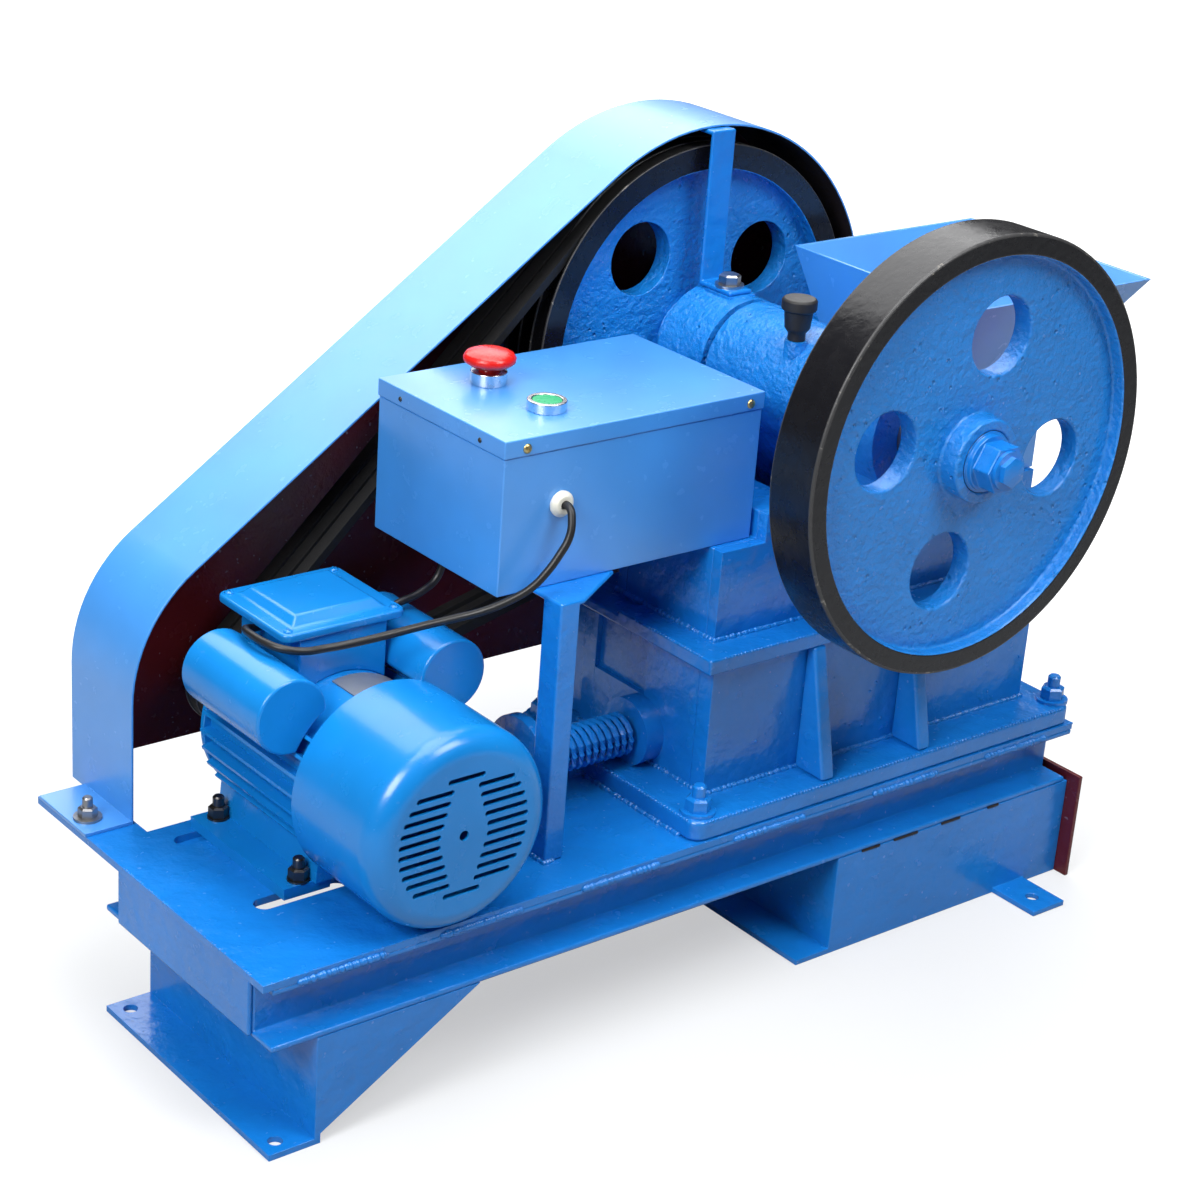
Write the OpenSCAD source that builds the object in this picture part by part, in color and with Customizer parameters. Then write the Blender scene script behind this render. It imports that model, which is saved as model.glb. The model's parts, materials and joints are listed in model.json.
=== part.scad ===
// Small laboratory jaw crusher on a welded channel base, with a motor, a belt drive and a control box.
// Sizes are in millimetres. Every piece is drawn from the near left corner of the base, and placed()
// then moves it so that the origin is on the floor under the middle of the whole machine.

/* [Base frame] */
// Length of the base, from the motor end to the end panel
base_l = 813; // [760:1:900]
// Width of the base over the channel flanges
base_w = 234; // [224:1:260]
// Height of the legs under the channels
leg_h = 89; // [70:1:140]
// Height of a channel
channel_h = 51; // [44:1:80]
// Width of a channel flange
channel_flange = 30; // [24:1:36]
// Thickness of a channel's web and flanges
channel_t = 5; // [4:0.5:8]
// Thickness of the deck plate
plate_t = 6; // [4:0.5:10]
// How far the deck plate passes the channels at the motor end
plate_lip = 8; // [4:1:14]
// Depth of the left foot on the floor
foot_depth = 38; // [32:1:60]
// Thickness of the feet, legs and gussets
steel_t = 5; // [4:0.5:8]
// Length of a gusset along the channel
gusset_l = 141; // [80:1:200]
// Diameter of the holes in the feet
foot_hole_d = 11; // [8:0.5:14]
// Distance of a foot hole from the edges of its foot
foot_hole_edge = 13.5; // [11:0.5:18]
// Length of the box that forms the right leg
leg_box_l = 274; // [240:1:300]
// Depth of the foot in front of the box
box_foot_depth = 36; // [24:1:60]
// Width of a foot tab
tab_w = 38; // [30:1:50]
// How far a foot tab reaches out of the box
tab_reach = 49; // [40:1:70]
// Distance of a foot tab from the end panel
tab_from_end = 41; // [20:1:120]
// Distance of a tab's hole from the box
tab_hole_reach = 29; // [20:1:34]
// Thickness of the end panel
panel_t = 4; // [3:0.5:8]
// Height of the end panel
panel_h = 97; // [80:1:110]
// How far the end panel passes the box on each side
panel_over = 13; // [5:1:25]

/* [Crusher frame] */
// Distance of the crusher's flange from the motor end of the base
crusher_x = 379; // [370:1:400]
// Length of the flange
flange_l = 427; // [420:1:440]
// Thickness of the flange
flange_t = 17; // [12:0.5:24]
// How far the flange stands in from the edge of the base
flange_inset = 1; // [0:0.5:6]
// Distance of the lower body from the flange's rear edge
body_inset = 38; // [32:1:44]
// Length of the lower body
body_l = 361; // [350:1:368]
// Width of the lower body
body_w = 158; // [150:1:166]
// Thickness of the lower body's walls
wall_t = 16; // [12:0.5:19]
// Height of the lower body
lower_h = 108; // [100:1:116]
// Thickness of the collar round the frame
collar_t = 13; // [8:0.5:18]
// How far the collar passes the lower body at the rear
collar_over_x = 12; // [6:1:16]
// How far the collar passes the lower body at the sides
collar_over_y = 9; // [5:1:14]
// Distance of the upper body from the rear of the lower body
upper_inset = 15; // [10:1:20]
// Width of the upper body
upper_w = 120; // [116:1:126]
// Thickness of the upper body's walls
upper_wall_t = 10; // [7:0.5:11]
// Height of the upper body
upper_h = 82; // [76:1:96]
// Thickness of the cap over the rear of the upper body
cap_t = 10; // [6:0.5:12]
// Thickness of the front wall
front_t = 20; // [16:1:24]
// Thickness of a side rib
rib_t = 14; // [10:0.5:18]
// Distance of the first rib from the rear of the lower body
rib_start = 97; // [60:1:120]
// Distance between the ribs
rib_pitch = 108; // [80:1:130]

/* [Jaws] */
// Width of the swing jaw
jaw_w = 88; // [80:1:88]
// Thickness of the cheek plates beside the jaws
cheek_t = 12; // [8:0.5:12]
// Distance between the crests of the jaw plates
tooth_pitch = 12; // [8:1:20]
// Depth of the grooves in the jaw plates
tooth_depth = 9; // [5:0.5:10]
// Thickness of a jaw plate behind its grooves
jaw_plate_t = 13; // [10:0.5:14]
// Gap between the jaw plates at the top
gape = 77; // [70:1:80]
// Gap between the jaw plates at the bottom, with the jaw open
discharge_gap = 13; // [12:0.5:18]
// Height of the jaw plates
jaw_plate_h = 220; // [205:1:224]
// Thickness of the toggle plate
toggle_t = 12; // [8:1:16]
// Diameter of the tension rod
rod_d = 14; // [10:1:16]
// Outside diameter of the spring
spring_d = 37; // [34:1:44]
// Thickness of the spring's wire
spring_wire = 5; // [4:0.5:6]
// Number of turns in the spring
spring_turns = 13; // [8:1:15]
// Length of the spring
spring_l = 98; // [90:1:110]
// Diameter of the disc that holds the spring
disc_d = 76; // [60:1:82]

/* [Shaft and wheels] */
// Distance of the shaft from the rear of the lower body
shaft_run = 145; // [140:1:150]
// Height of the shaft over the upper body
shaft_rise = 89; // [86:1:96]
// Diameter of the shaft
shaft_d = 48; // [40:1:52]
// Diameter of the swing jaw's hub and of the bearing housings
hub_d = 100; // [90:1:104]
// Width of a bearing housing
housing_w = 54; // [46:1:56]
// Width of the swing jaw's hub
hub_w = 134; // [128:1:138]
// Gap between the hub and a bearing housing
hub_gap = 6; // [5:0.5:7]
// Gap between the far bearing housing and the pulley wheel
wheel_gap = 9; // [8:0.5:16]
// Gap between the near bearing housing and the flywheel
flywheel_gap = 20; // [8:0.5:26]
// How far a wheel's hub stands out of its outer side
boss_out = 6; // [3:0.5:10]
// Diameter of the near flywheel
flywheel_d = 344; // [320:1:350]
// Width of the near flywheel
flywheel_w = 45; // [36:1:60]
// Thickness of a wheel's rim
rim_t = 17; // [12:1:24]
// Depth of the recess in a wheel's outer side
recess = 11; // [6:1:14]
// Thickness of a wheel's web
web_t = 18; // [12:1:22]
// Diameter of the holes in a wheel's web
web_hole_d = 61; // [40:1:66]
// Diameter of the circle through those holes
web_hole_circle = 184; // [176:1:190]
// Diameter of a wheel's hub
boss_d = 66; // [58:1:76]
// Diameter of the pulley wheel
pulley_wheel_d = 326; // [310:1:334]

/* [Belt drive] */
// Number of V-belts
belts = 3; // [1:1:3]
// Distance between the belts
belt_pitch = 15; // [14:0.5:16]
// Width of a belt's back
belt_w = 12; // [10:0.5:13]
// Height of a belt
belt_h = 8; // [6:0.5:9]
// Diameter of the motor's pulley
motor_pulley_d = 82; // [70:1:96]

/* [Guard] */
// Width of the guard's band
guard_w = 93; // [80:1:110]
// Thickness of the guard's sheet
sheet_t = 2; // [1.5:0.5:3]
// Clear space between the guard and the pulley wheel
guard_gap = 15; // [11:0.5:17]
// Radius of the guard's bend over the motor's pulley
guard_bend_r = 120; // [100:1:125]
// Distance of the guard's upright side from the end of the base
guard_x = 30; // [26:1:34]
// Angle at which the band ends past the pulley wheel
guard_end = 40; // [10:1:50]
// Width of the strap that holds the guard
strap_w = 24; // [18:1:30]
// Thickness of the strap
strap_t = 4; // [3:0.5:5]

/* [Hopper] */
// Height of the hopper over the upper body
hopper_h = 169; // [150:1:185]
// Height of the hopper's straight neck
hopper_neck = 82; // [76:1:95]
// Length of the hopper's mouth
hopper_l = 209; // [200:1:230]
// Width of the hopper's mouth
hopper_w = 205; // [170:1:220]
// Thickness of the hopper's sheet
hopper_t = 3; // [2:0.5:3.5]

/* [Motor] */
// Distance of the motor's axis from the end of the base
motor_x = 146; // [142:1:160]
// Height of the motor's axis over the deck
motor_rise = 80; // [79:1:90]
// Distance between the motor's bolts across its axis
motor_bolt_x = 125; // [118:1:140]
// Distance between the motor's bolts along its axis
motor_bolt_y = 112; // [90:1:116]
// Diameter of the motor's finned body
motor_d = 144; // [138:1:148]
// Depth of the fins
fin_h = 9; // [6:0.5:12]
// Length of the motor's body
motor_l = 136; // [130:1:140]
// Diameter of the fan cowl
cowl_d = 156; // [150:1:158]
// Length of the fan cowl
cowl_l = 102; // [90:1:110]
// Diameter of a capacitor cover
capacitor_d = 58; // [50:1:60]
// Length of a capacitor cover
capacitor_l = 105; // [90:1:115]

/* [Control box] */
// Length of the control box
control_l = 244; // [220:1:260]
// Width of the control box
control_w = 158; // [140:1:170]
// Height of the control box
control_h = 120; // [100:1:130]
// Depth of its lid
control_lid_h = 14; // [10:1:20]
// Height of the post over the deck
post_h = 212; // [205:1:217]
// Width of the post's square bar
post_w = 22; // [18:1:26]
// Thickness of the post's square bar
post_t = 18; // [12:0.5:22]
// Diameter of the stop button's head
stop_d = 40; // [36:1:44]
// Diameter of the start button's bezel
bezel_d = 30; // [28:1:32]
// Diameter of the leads
lead_d = 6; // [5:0.5:7]

/* [Hidden] */
$fn = 64;

blue = "royalblue";
black = "#1c1d1f";
// Running clearance between a shaft or button and its bore
run_gap = 0.3;
mid_y = base_w / 2;
deck_z = leg_h + channel_h + plate_t;

// Crusher frame
flange_z = deck_z + flange_t;
collar_z = flange_z + lower_h;
upper_z = collar_z + collar_t;
upper_top = upper_z + upper_h;
body_x = crusher_x + body_inset;
body_end = body_x + body_l;
upper_x = body_x + upper_inset;
front_x = body_end - front_t;
inner_half = upper_w / 2 - upper_wall_t;
wall_in = body_w / 2 - wall_t;
shaft_x = body_x + shaft_run;
shaft_z = upper_top + shaft_rise;
shelf_half = 57;
rib_reach = 34;
corner_reach = 20;
strip_seam = 26;
strip_drop = 4;
wall_recess = 5;
shelf_t = 15;
cup_x = shaft_x - 31;
cup_y = mid_y - 14;
cup_z = shaft_z + hub_d / 2 - 4;
housing_in = hub_w / 2 + hub_gap;
housing_out = housing_in + housing_w;
bore_d = shaft_d + 2 * run_gap;
discharge_x = body_x + 133;
// The flange keeps this much metal in front of the discharge opening
flange_front = 48;
discharge_l = crusher_x + flange_l - flange_front - discharge_x;
cheek_foot = 30;
cheek_head = 10;

// Jaws: the fixed plate stands on the front wall's toe, and the swing jaw's plate leans to it
jaw_z = flange_z + 15;
toe_h = jaw_z - flange_z;
fixed_crest = front_x - jaw_plate_t - tooth_depth;
jaw_lean = atan((gape - discharge_gap) / jaw_plate_h);
rod_z = flange_z + 26;
toggle_z = flange_z + 58;
seat_x = body_x + 44;
boss_l = 17;
rod_boss_d = 56;
spring_x = body_x - boss_l - spring_l;
jaw_heel_x = body_x + 222;

// Wheels, from the middle of the crusher outwards
near_wheel_y = mid_y - housing_out - flywheel_gap - flywheel_w;
far_wheel_y = mid_y + housing_out + wheel_gap;
groove_depth = belt_h + 3;
groove_gap = 0.4;
belt_sunk = 1;
belt_edge = 1.5;
belt_flank = 1.6;
pulley_wheel_w = belts * belt_pitch + 2 * belt_edge;
shaft_near = near_wheel_y - 33;
nut_w = 34;
nut_h = 16;

// Guard: one bend over the motor's pulley, one round the pulley wheel
motor_z = deck_z + motor_rise;
guard_r = pulley_wheel_d / 2 + guard_gap + sheet_t;
guard_y = far_wheel_y - 4;
bend_x = guard_x + guard_bend_r;
bend_z = deck_z + 99;
guard_tab_t = 3;
back_rise = 12;
guard_tab_reach = 39;
guard_tilt = atan2(shaft_z - bend_z, shaft_x - bend_x)
    + asin((guard_r - guard_bend_r) / norm([shaft_x - bend_x, shaft_z - bend_z]));

// Hopper
hopper_x = body_end + 62 - hopper_l;
neck_x = hopper_x + 9;
neck_end = body_end + hopper_t;
neck_w = upper_w - upper_wall_t;
hopper_z = upper_top + hopper_h;
neck_z = upper_top + hopper_neck;

// Motor, from its fan end
cowl_y = mid_y - 131;
motor_y = cowl_y + cowl_l;
motor_end = motor_y + motor_l;
shield_l = 18;
cowl_t = 2;
cowl_lap = 8;
grille_rows = 12;
grille_pitch = 8.2;
grille_slot_w = 4.2;
grille_r = 56;
grille_gap = 8;
grille_diamond = 13;
grille_end_half = 16;
grille_hole_d = 8;
core_r = motor_d / 2 - fin_h;
motor_shaft_d = 19;
foot_y = motor_y + (motor_l - motor_bolt_y) / 2;
foot_t = 9;
slot_d = 9;
slot_l = 62;
deck_slot_w = 16;
slot_shift = 4;
foot_back = 4;
terminal_l = 76;
terminal_w = 80;
terminal_y = motor_end - terminal_w / 2;
terminal_top = motor_z + 97;
saddle_z = motor_z + 48;
lid_l = 106;
lid_w = 95;
lid_rim = 7;
lid_h = 14;
capacitor_x = 70;
capacitor_z = motor_z + 60;
capacitor_y = motor_y + 14;

// Control box
post_x = 280;
bracket_l = 57;
bracket_w = 70;
post_from_box = 52;
post_y = mid_y - 79;
bracket_t = 4;
control_x = post_x - post_from_box;
control_y = post_y + 33;
control_z = deck_z + post_h;
control_top = control_z + control_h;
step_x = control_x + control_l + 4;
stop_in = 66;
stop_x = control_x + stop_in;
stop_y = control_y + 111;
stop_collar_d = 28;
stop_collar_h = 10;
stop_lift = 4.6;
stop_stem_z = 7.5;
stop_stem_d = 16;
start_x = control_x + 69;
start_y = control_y + 43;
bezel_h = 8;
cap_d = 22;
grommet_x = control_x + 53;
grommet_z = control_z + 64;
grommet_d = 20;
grommet_l = 6;

// Routes of the two leads, with y from the crusher's middle plane
control_lead_route = [[281, -46, 422], [281, -57, 422], [279, -63, 414], [275, -66, 403], [267, -66, 391],
    [257, -65, 379], [246, -63, 369], [233, -57, 360], [217, -47, 351], [200, -33, 343],
    [184, -18, 335], [166, -4, 327], [146, 7, 321], [122, 13, 319], [103, 15, 320],
    [90, 22, 322], [84, 35, 323], [83, 51, 323], [86, 65, 321], [92, 73, 318],
    [100, 75, 316], [108, 75, 316]];
supply_lead_route = [[250, 51, 358], [250, 51, 350], [248, 51, 341], [243, 51, 333], [235, 51, 328],
    [224, 51, 324], [212, 51, 322], [202, 51, 319], [193, 51, 317], [184, 51, 317]];

// The middle of the machine, between its furthest points
mid_x = (hopper_x + hopper_l + guard_x - guard_tab_reach) / 2;
middle_y = (shaft_near + guard_y + guard_w) / 2;

// Moves a piece from the base's corner to the middle of the machine
module placed() {
    translate([-mid_x, -middle_y, 0]) children();
}

// Extrudes an outline drawn in x and z from one y to another
module side_profile(from, to) {
    translate([0, to, 0]) rotate([90, 0, 0]) linear_extrude(to - from) children();
}

// A rod along y
module rod_y(x, y, z, d, l) {
    translate([x, y, z]) rotate([-90, 0, 0]) cylinder(d = d, h = l);
}

// A rod along x
module rod_x(x, y, z, d, l) {
    translate([x, y, z]) rotate([0, 90, 0]) cylinder(d = d, h = l);
}

// Repeats a piece on the far side of the crusher's middle plane
module both_sides() {
    children();
    translate([0, 2 * mid_y, 0]) mirror([0, 1, 0]) children();
}

// A plate with rounded corners, lying flat
module round_plate(l, w, t, r) {
    linear_extrude(t) hull() {
        for (x = [r, l - r], y = [r, w - r]) translate([x, y]) circle(r, $fn = 32);
    }
}

// A channel with its flanges towards the near side
module channel_bar() {
    translate([0, 0, leg_h]) difference() {
        cube([base_l - 5, channel_flange, channel_h]);
        translate([-1, -1, channel_t])
            cube([base_l, channel_flange - channel_t + 1, channel_h - 2 * channel_t]);
    }
}

module near_channel() {
    color(blue) placed() channel_bar();
}

module far_channel() {
    color(blue) placed() translate([0, base_w, 0]) mirror([0, 1, 0]) channel_bar();
}

// A slot in the deck for one motor bolt
module motor_slot(y) {
    for (x = [-slot_l / 2, slot_l / 2]) translate([x, y]) circle(d = deck_slot_w);
    translate([-slot_l / 2, y - deck_slot_w / 2]) square([slot_l, deck_slot_w]);
}

module deck_plate() {
    tab_y = guard_y + 77;
    color(blue) placed() translate([0, 0, deck_z - plate_t]) difference() {
        union() {
            translate([-plate_lip, 0, 0]) cube([base_l - 5 + plate_lip, base_w, plate_t]);
            translate([-plate_lip, base_w - 1, 0]) cube([plate_lip + guard_x + 5, tab_y - base_w + 1, plate_t]);
        }
        translate([0, 0, -1]) linear_extrude(plate_t + 2) {
            for (side = [-1, 1], y = [0, motor_bolt_y])
                translate([motor_x + side * motor_bolt_x / 2, 0]) motor_slot(foot_y + y - slot_shift);
            translate([discharge_x, mid_y - inner_half]) square([discharge_l, 2 * inner_half]);
        }
    }
}

module channel_end_plate() {
    web = channel_flange - channel_t;
    color(blue) placed() translate([-4, web, leg_h + 2]) cube([4, base_w - 2 * web, channel_h - 2]);
}

module left_leg() {
    color(blue) placed() {
        difference() {
            cube([foot_depth + steel_t, base_w, steel_t]);
            for (y = [foot_hole_edge, base_w - foot_hole_edge])
                translate([foot_hole_edge, y, -1]) cylinder(d = foot_hole_d, h = steel_t + 2);
        }
        translate([foot_depth, 0, 0]) cube([steel_t, base_w, leg_h]);
        for (y = [0, base_w - steel_t])
            side_profile(y, y + steel_t) polygon([[foot_depth, steel_t], [foot_depth + gusset_l, leg_h],
                [foot_depth, leg_h]]);
    }
}

module leg_box() {
    box_x = base_l - leg_box_l;
    tab_x = base_l - tab_from_end - tab_w;
    color(blue) placed() {
        for (y = [0, base_w - steel_t]) translate([box_x, y, 0]) cube([leg_box_l, steel_t, leg_h]);
        translate([box_x, 0, 0]) cube([steel_t, base_w, leg_h]);
        translate([box_x - box_foot_depth, 0, 0]) cube([box_foot_depth + 1, base_w, steel_t]);
        both_sides() difference() {
            translate([tab_x, -tab_reach, 0]) cube([tab_w, tab_reach + 1, steel_t]);
            translate([tab_x + tab_w / 2, -tab_hole_reach, -1]) cylinder(d = foot_hole_d, h = steel_t + 2);
        }
    }
}

module end_panel() {
    color("#5a1f22") placed() translate([base_l, -panel_over, 0])
        cube([panel_t, base_w + 2 * panel_over, panel_h]);
}

module crusher_flange() {
    flange_w = base_w - 2 * flange_inset;
    color(blue) placed() difference() {
        translate([crusher_x, flange_inset, deck_z]) round_plate(flange_l, flange_w, flange_t, 12);
        translate([discharge_x, mid_y - inner_half, deck_z - 1])
            cube([discharge_l, 2 * inner_half, flange_t + 2]);
    }
}

module lower_side_walls() {
    color(blue) placed() both_sides() translate([body_x, mid_y - body_w / 2, flange_z])
        cube([body_l, wall_t, lower_h]);
}

// Rear wall with the boss for the tension rod, the seat for the toggle plate and a shallow recess
module lower_rear_wall() {
    toggle_half = toggle_t / 2 + 0.4;
    color(blue) placed() difference() {
        union() {
            side_profile(mid_y - wall_in, mid_y + wall_in) polygon([[body_x, flange_z], [body_x + 20, flange_z],
                [body_x + 20, rod_z + 14], [seat_x + 10, toggle_z - 22], [seat_x + 10, toggle_z - toggle_half],
                [seat_x, toggle_z - toggle_half], [seat_x, toggle_z + toggle_half],
                [seat_x + 10, toggle_z + toggle_half], [seat_x + 10, toggle_z + 22],
                [body_x + 20, collar_z], [body_x, collar_z]]);
            rod_x(body_x - boss_l, mid_y, rod_z, rod_boss_d, boss_l + 1);
        }
        rod_x(body_x - boss_l - 1, mid_y, rod_z, rod_d + 4, 60);
        translate([body_x - boss_l - 1, mid_y - rod_boss_d, deck_z])
            cube([boss_l + 3, 2 * rod_boss_d, flange_t]);
        translate([body_x - 1, mid_y, rod_z + rod_boss_d / 2]) cube([wall_recess + 1, wall_in + 1, lower_h]);
    }
}

module front_wall() {
    color(blue) placed() {
        translate([front_x, mid_y - wall_in, flange_z]) cube([front_t, 2 * wall_in, lower_h]);
        translate([front_x, mid_y - inner_half, flange_z])
            cube([front_t, 2 * inner_half, toe_h + jaw_plate_h]);
        translate([front_x - jaw_plate_t, mid_y - inner_half, flange_z])
            cube([jaw_plate_t + 1, 2 * inner_half, toe_h]);
    }
}

// Collar of welded strips: the far strip at the rear lies a little lower
module collar() {
    half = body_w / 2 + collar_over_y;
    opening_x = upper_x + upper_wall_t;
    color(blue) placed() difference() {
        translate([body_x - collar_over_x, mid_y - half, collar_z])
            cube([body_l + collar_over_x, 2 * half, collar_t]);
        translate([opening_x, mid_y - inner_half, collar_z - 1])
            cube([body_end - opening_x + 1, 2 * inner_half, collar_t + 2]);
        translate([body_x - collar_over_x - 1, mid_y + strip_seam, upper_z - strip_drop])
            cube([collar_over_x + upper_inset + 1, half, strip_drop + 1]);
    }
}

// Side walls of the upper body, lower at the rear under the control box
module upper_side_walls() {
    near = mid_y - upper_w / 2;
    color(blue) placed() both_sides() side_profile(near, near + upper_wall_t) polygon([[upper_x, upper_z],
        [body_end, upper_z], [body_end, upper_top], [step_x, upper_top], [step_x, control_z],
        [upper_x, control_z]]);
}

// Rear wall of the upper body, with the cap that the control box rests on and the top plate behind it
module upper_rear_wall() {
    riser_x = step_x + upper_wall_t;
    lip_x = shaft_x - 42;
    color(blue) placed() side_profile(mid_y - inner_half, mid_y + inner_half) polygon([[upper_x, upper_z],
        [upper_x + upper_wall_t, upper_z], [upper_x + upper_wall_t, control_z - cap_t],
        [riser_x, control_z - cap_t], [riser_x, upper_top], [lip_x, upper_top], [lip_x, upper_top + shelf_t],
        [step_x, upper_top + shelf_t], [step_x, control_z], [upper_x, control_z]]);
}

// Ribs between the flange and the collar, narrower at the top, and one at the far rear corner
module side_ribs() {
    face = mid_y - body_w / 2;
    foot = face - rib_reach;
    head = face - collar_over_y;
    color(blue) placed() both_sides() for (i = [0, 1])
        translate([body_x + rib_start + i * rib_pitch + rib_t, 0, 0]) rotate([0, -90, 0]) linear_extrude(rib_t)
            polygon([[flange_z, foot], [flange_z, face], [collar_z, face], [collar_z, head]]);
    far = mid_y + body_w / 2;
    color(blue) placed() translate([body_x + wall_recess + rib_t, 0, 0]) rotate([0, -90, 0])
        linear_extrude(rib_t) polygon([[flange_z, far], [flange_z, far + rib_reach],
            [collar_z, far + corner_reach], [collar_z, far]]);
}

// Housings on shelves that stand out of the upper body, with a gusset under each shelf
module bearing_housings() {
    outer = mid_y - housing_out;
    wall = mid_y - upper_w / 2;
    color(blue) placed() both_sides() difference() {
        union() {
            rod_y(shaft_x, outer, shaft_z, hub_d, housing_w);
            translate([shaft_x - 36, outer, upper_top + 1]) cube([72, housing_w, shaft_rise]);
            translate([shaft_x - shelf_half, outer, upper_top])
                cube([2 * shelf_half, wall + upper_wall_t - outer, shelf_t]);
            translate([step_x, wall, upper_top]) cube([shaft_x - step_x, upper_wall_t, shelf_t]);
            translate([shaft_x - 7, 0, 0]) rotate([90, 0, 90]) linear_extrude(14)
                polygon([[wall, upper_z + 20], [wall, upper_top + 1], [outer + 8, upper_top + 1]]);
            translate([shaft_x - 14, outer + 12, shaft_z + hub_d / 2 - 8]) cube([28, 30, 8]);
        }
        rod_y(shaft_x, outer - 1, shaft_z, bore_d, housing_w + 2);
    }
}

// The toothed outline of a jaw plate: its back on x = 0, its crests towards -x
module jaw_plate_outline(w) {
    teeth = floor(w / tooth_pitch);
    edge = (w - teeth * tooth_pitch) / 2;
    polygon(concat([[0, 0], [0, w], [-jaw_plate_t, w]],
        [for (i = [teeth - 1:-1:0]) each [[-jaw_plate_t, edge + (i + 1) * tooth_pitch],
            [-jaw_plate_t - tooth_depth, edge + (i + 0.5) * tooth_pitch]]],
        [[-jaw_plate_t, edge], [-jaw_plate_t, 0]]));
}

module fixed_jaw_plate() {
    plate_w = 2 * inner_half - 4;
    color("dimgray") placed() translate([front_x, mid_y - plate_w / 2, jaw_z])
        linear_extrude(jaw_plate_h) jaw_plate_outline(plate_w);
}

module cheek_plates() {
    color("dimgray") placed() both_sides() side_profile(mid_y - wall_in, mid_y - wall_in + cheek_t)
        polygon([[discharge_x + cheek_foot, flange_z], [front_x, flange_z], [front_x, collar_z],
            [discharge_x + cheek_head, collar_z]]);
}

module toggle_plate() {
    toggle_w = 74;
    color("slategray") placed() translate([seat_x, mid_y - toggle_w / 2, toggle_z - toggle_t / 2])
        cube([jaw_heel_x - 6 - seat_x, toggle_w, toggle_t]);
}

// Rod that pulls the jaw back, with the disc that holds its spring
module tension_rod() {
    disc_t = 10;
    color("#23262b") placed() {
        rod_x(spring_x - disc_t - 16, mid_y, rod_z, rod_d, jaw_heel_x - 8 - spring_x + disc_t + 16);
        rod_x(spring_x - disc_t, mid_y, rod_z, disc_d, disc_t);
    }
}

// Points of a ring of a tube, square to the line from one neighbour to the other
function ring(p, along, r, sides) =
    let (t = along / norm(along),
        u = cross(t, abs(t.z) < 0.9 ? [0, 0, 1] : [1, 0, 0]),
        a = u / norm(u),
        b = cross(t, a))
    [for (i = [0:sides - 1]) p + r * (cos(360 * i / sides) * a + sin(360 * i / sides) * b)];

// A round tube along a list of points, with flat ends
module tube(points, r, sides) {
    n = len(points);
    rings = [for (i = [0:n - 1])
        each ring(points[i], points[min(i + 1, n - 1)] - points[max(i - 1, 0)], r, sides)];
    polyhedron(points = rings, convexity = 10, faces = concat(
        [[for (i = [0:sides - 1]) i]],
        [[for (i = [sides - 1:-1:0]) (n - 1) * sides + i]],
        [for (k = [0:n - 2], i = [0:sides - 1])
            let (j = (i + 1) % sides)
            each [[k * sides + j, k * sides + i, (k + 1) * sides + i],
                [k * sides + j, (k + 1) * sides + i, (k + 1) * sides + j]]]));
}

module spring() {
    steps = 14;
    coil_r = (spring_d - spring_wire) / 2;
    rise = spring_l - spring_wire;
    coil = [for (i = [0:spring_turns * steps])
        let (a = 360 * i / steps)
        [spring_x + spring_wire / 2 + rise * i / (spring_turns * steps),
            mid_y + coil_r * cos(a), rod_z + coil_r * sin(a)]];
    color(blue) placed() tube(coil, spring_wire / 2, 6);
}

// Swing jaw: a hub on the shaft and a body that leans to the fixed jaw
module swing_jaw() {
    back_top = fixed_crest - gape - tooth_depth - jaw_plate_t;
    back_foot = fixed_crest - discharge_gap - tooth_depth - jaw_plate_t;
    jaw_top = jaw_z + jaw_plate_h;
    color(blue) placed() difference() {
        union() {
            rod_y(shaft_x, mid_y - hub_w / 2, shaft_z, hub_d, hub_w);
            translate([cup_x, cup_y, shaft_z]) cylinder(d = 18, h = cup_z - shaft_z);
            side_profile(mid_y - jaw_w / 2, mid_y + jaw_w / 2) polygon([[shaft_x - 34, shaft_z - 34],
                [shaft_x + 40, upper_z + 10], [jaw_heel_x, toggle_z + 16], [jaw_heel_x, rod_z - 6],
                [jaw_heel_x + 22, jaw_z - 6], [back_foot - 4, jaw_z - 6], [back_foot, jaw_z],
                [back_top, jaw_top], [back_top - 6, jaw_top + 10], [shaft_x + 40, shaft_z - 28]]);
        }
        rod_y(shaft_x, mid_y - hub_w / 2 - 1, shaft_z, bore_d, hub_w + 2);
    }
}

module swing_jaw_plate() {
    foot_x = fixed_crest - discharge_gap - tooth_depth - jaw_plate_t;
    color("dimgray") placed() translate([foot_x, mid_y + jaw_w / 2, jaw_z]) rotate([0, -jaw_lean, 0])
        rotate([0, 0, 180]) linear_extrude(jaw_plate_h / cos(jaw_lean)) jaw_plate_outline(jaw_w);
}

module grease_cup() {
    color(black) placed() translate([cup_x, cup_y, cup_z]) rotate_extrude() polygon([[0, 0],
        [7, 0], [7, 6], [10, 10], [11.5, 24], [14, 25], [14, 32], [12.5, 34], [0, 34]]);
}

// Shaft through both wheels, with the nut and the stud on its near end
module shaft() {
    far_end = far_wheel_y + pulley_wheel_w + boss_out + 4;
    boss_y = near_wheel_y - boss_out;
    washer_d = 44;
    washer_t = 4;
    stud_d = 20;
    color("gray") placed() {
        rod_y(shaft_x, boss_y, shaft_z, shaft_d, far_end - boss_y);
        rod_y(shaft_x, boss_y - washer_t, shaft_z, washer_d, washer_t);
        rod_y(shaft_x, boss_y - washer_t - nut_h, shaft_z, nut_w / cos(30), nut_h, $fn = 6);
        rod_y(shaft_x, shaft_near, shaft_z, stud_d, boss_y - shaft_near);
    }
}

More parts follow.
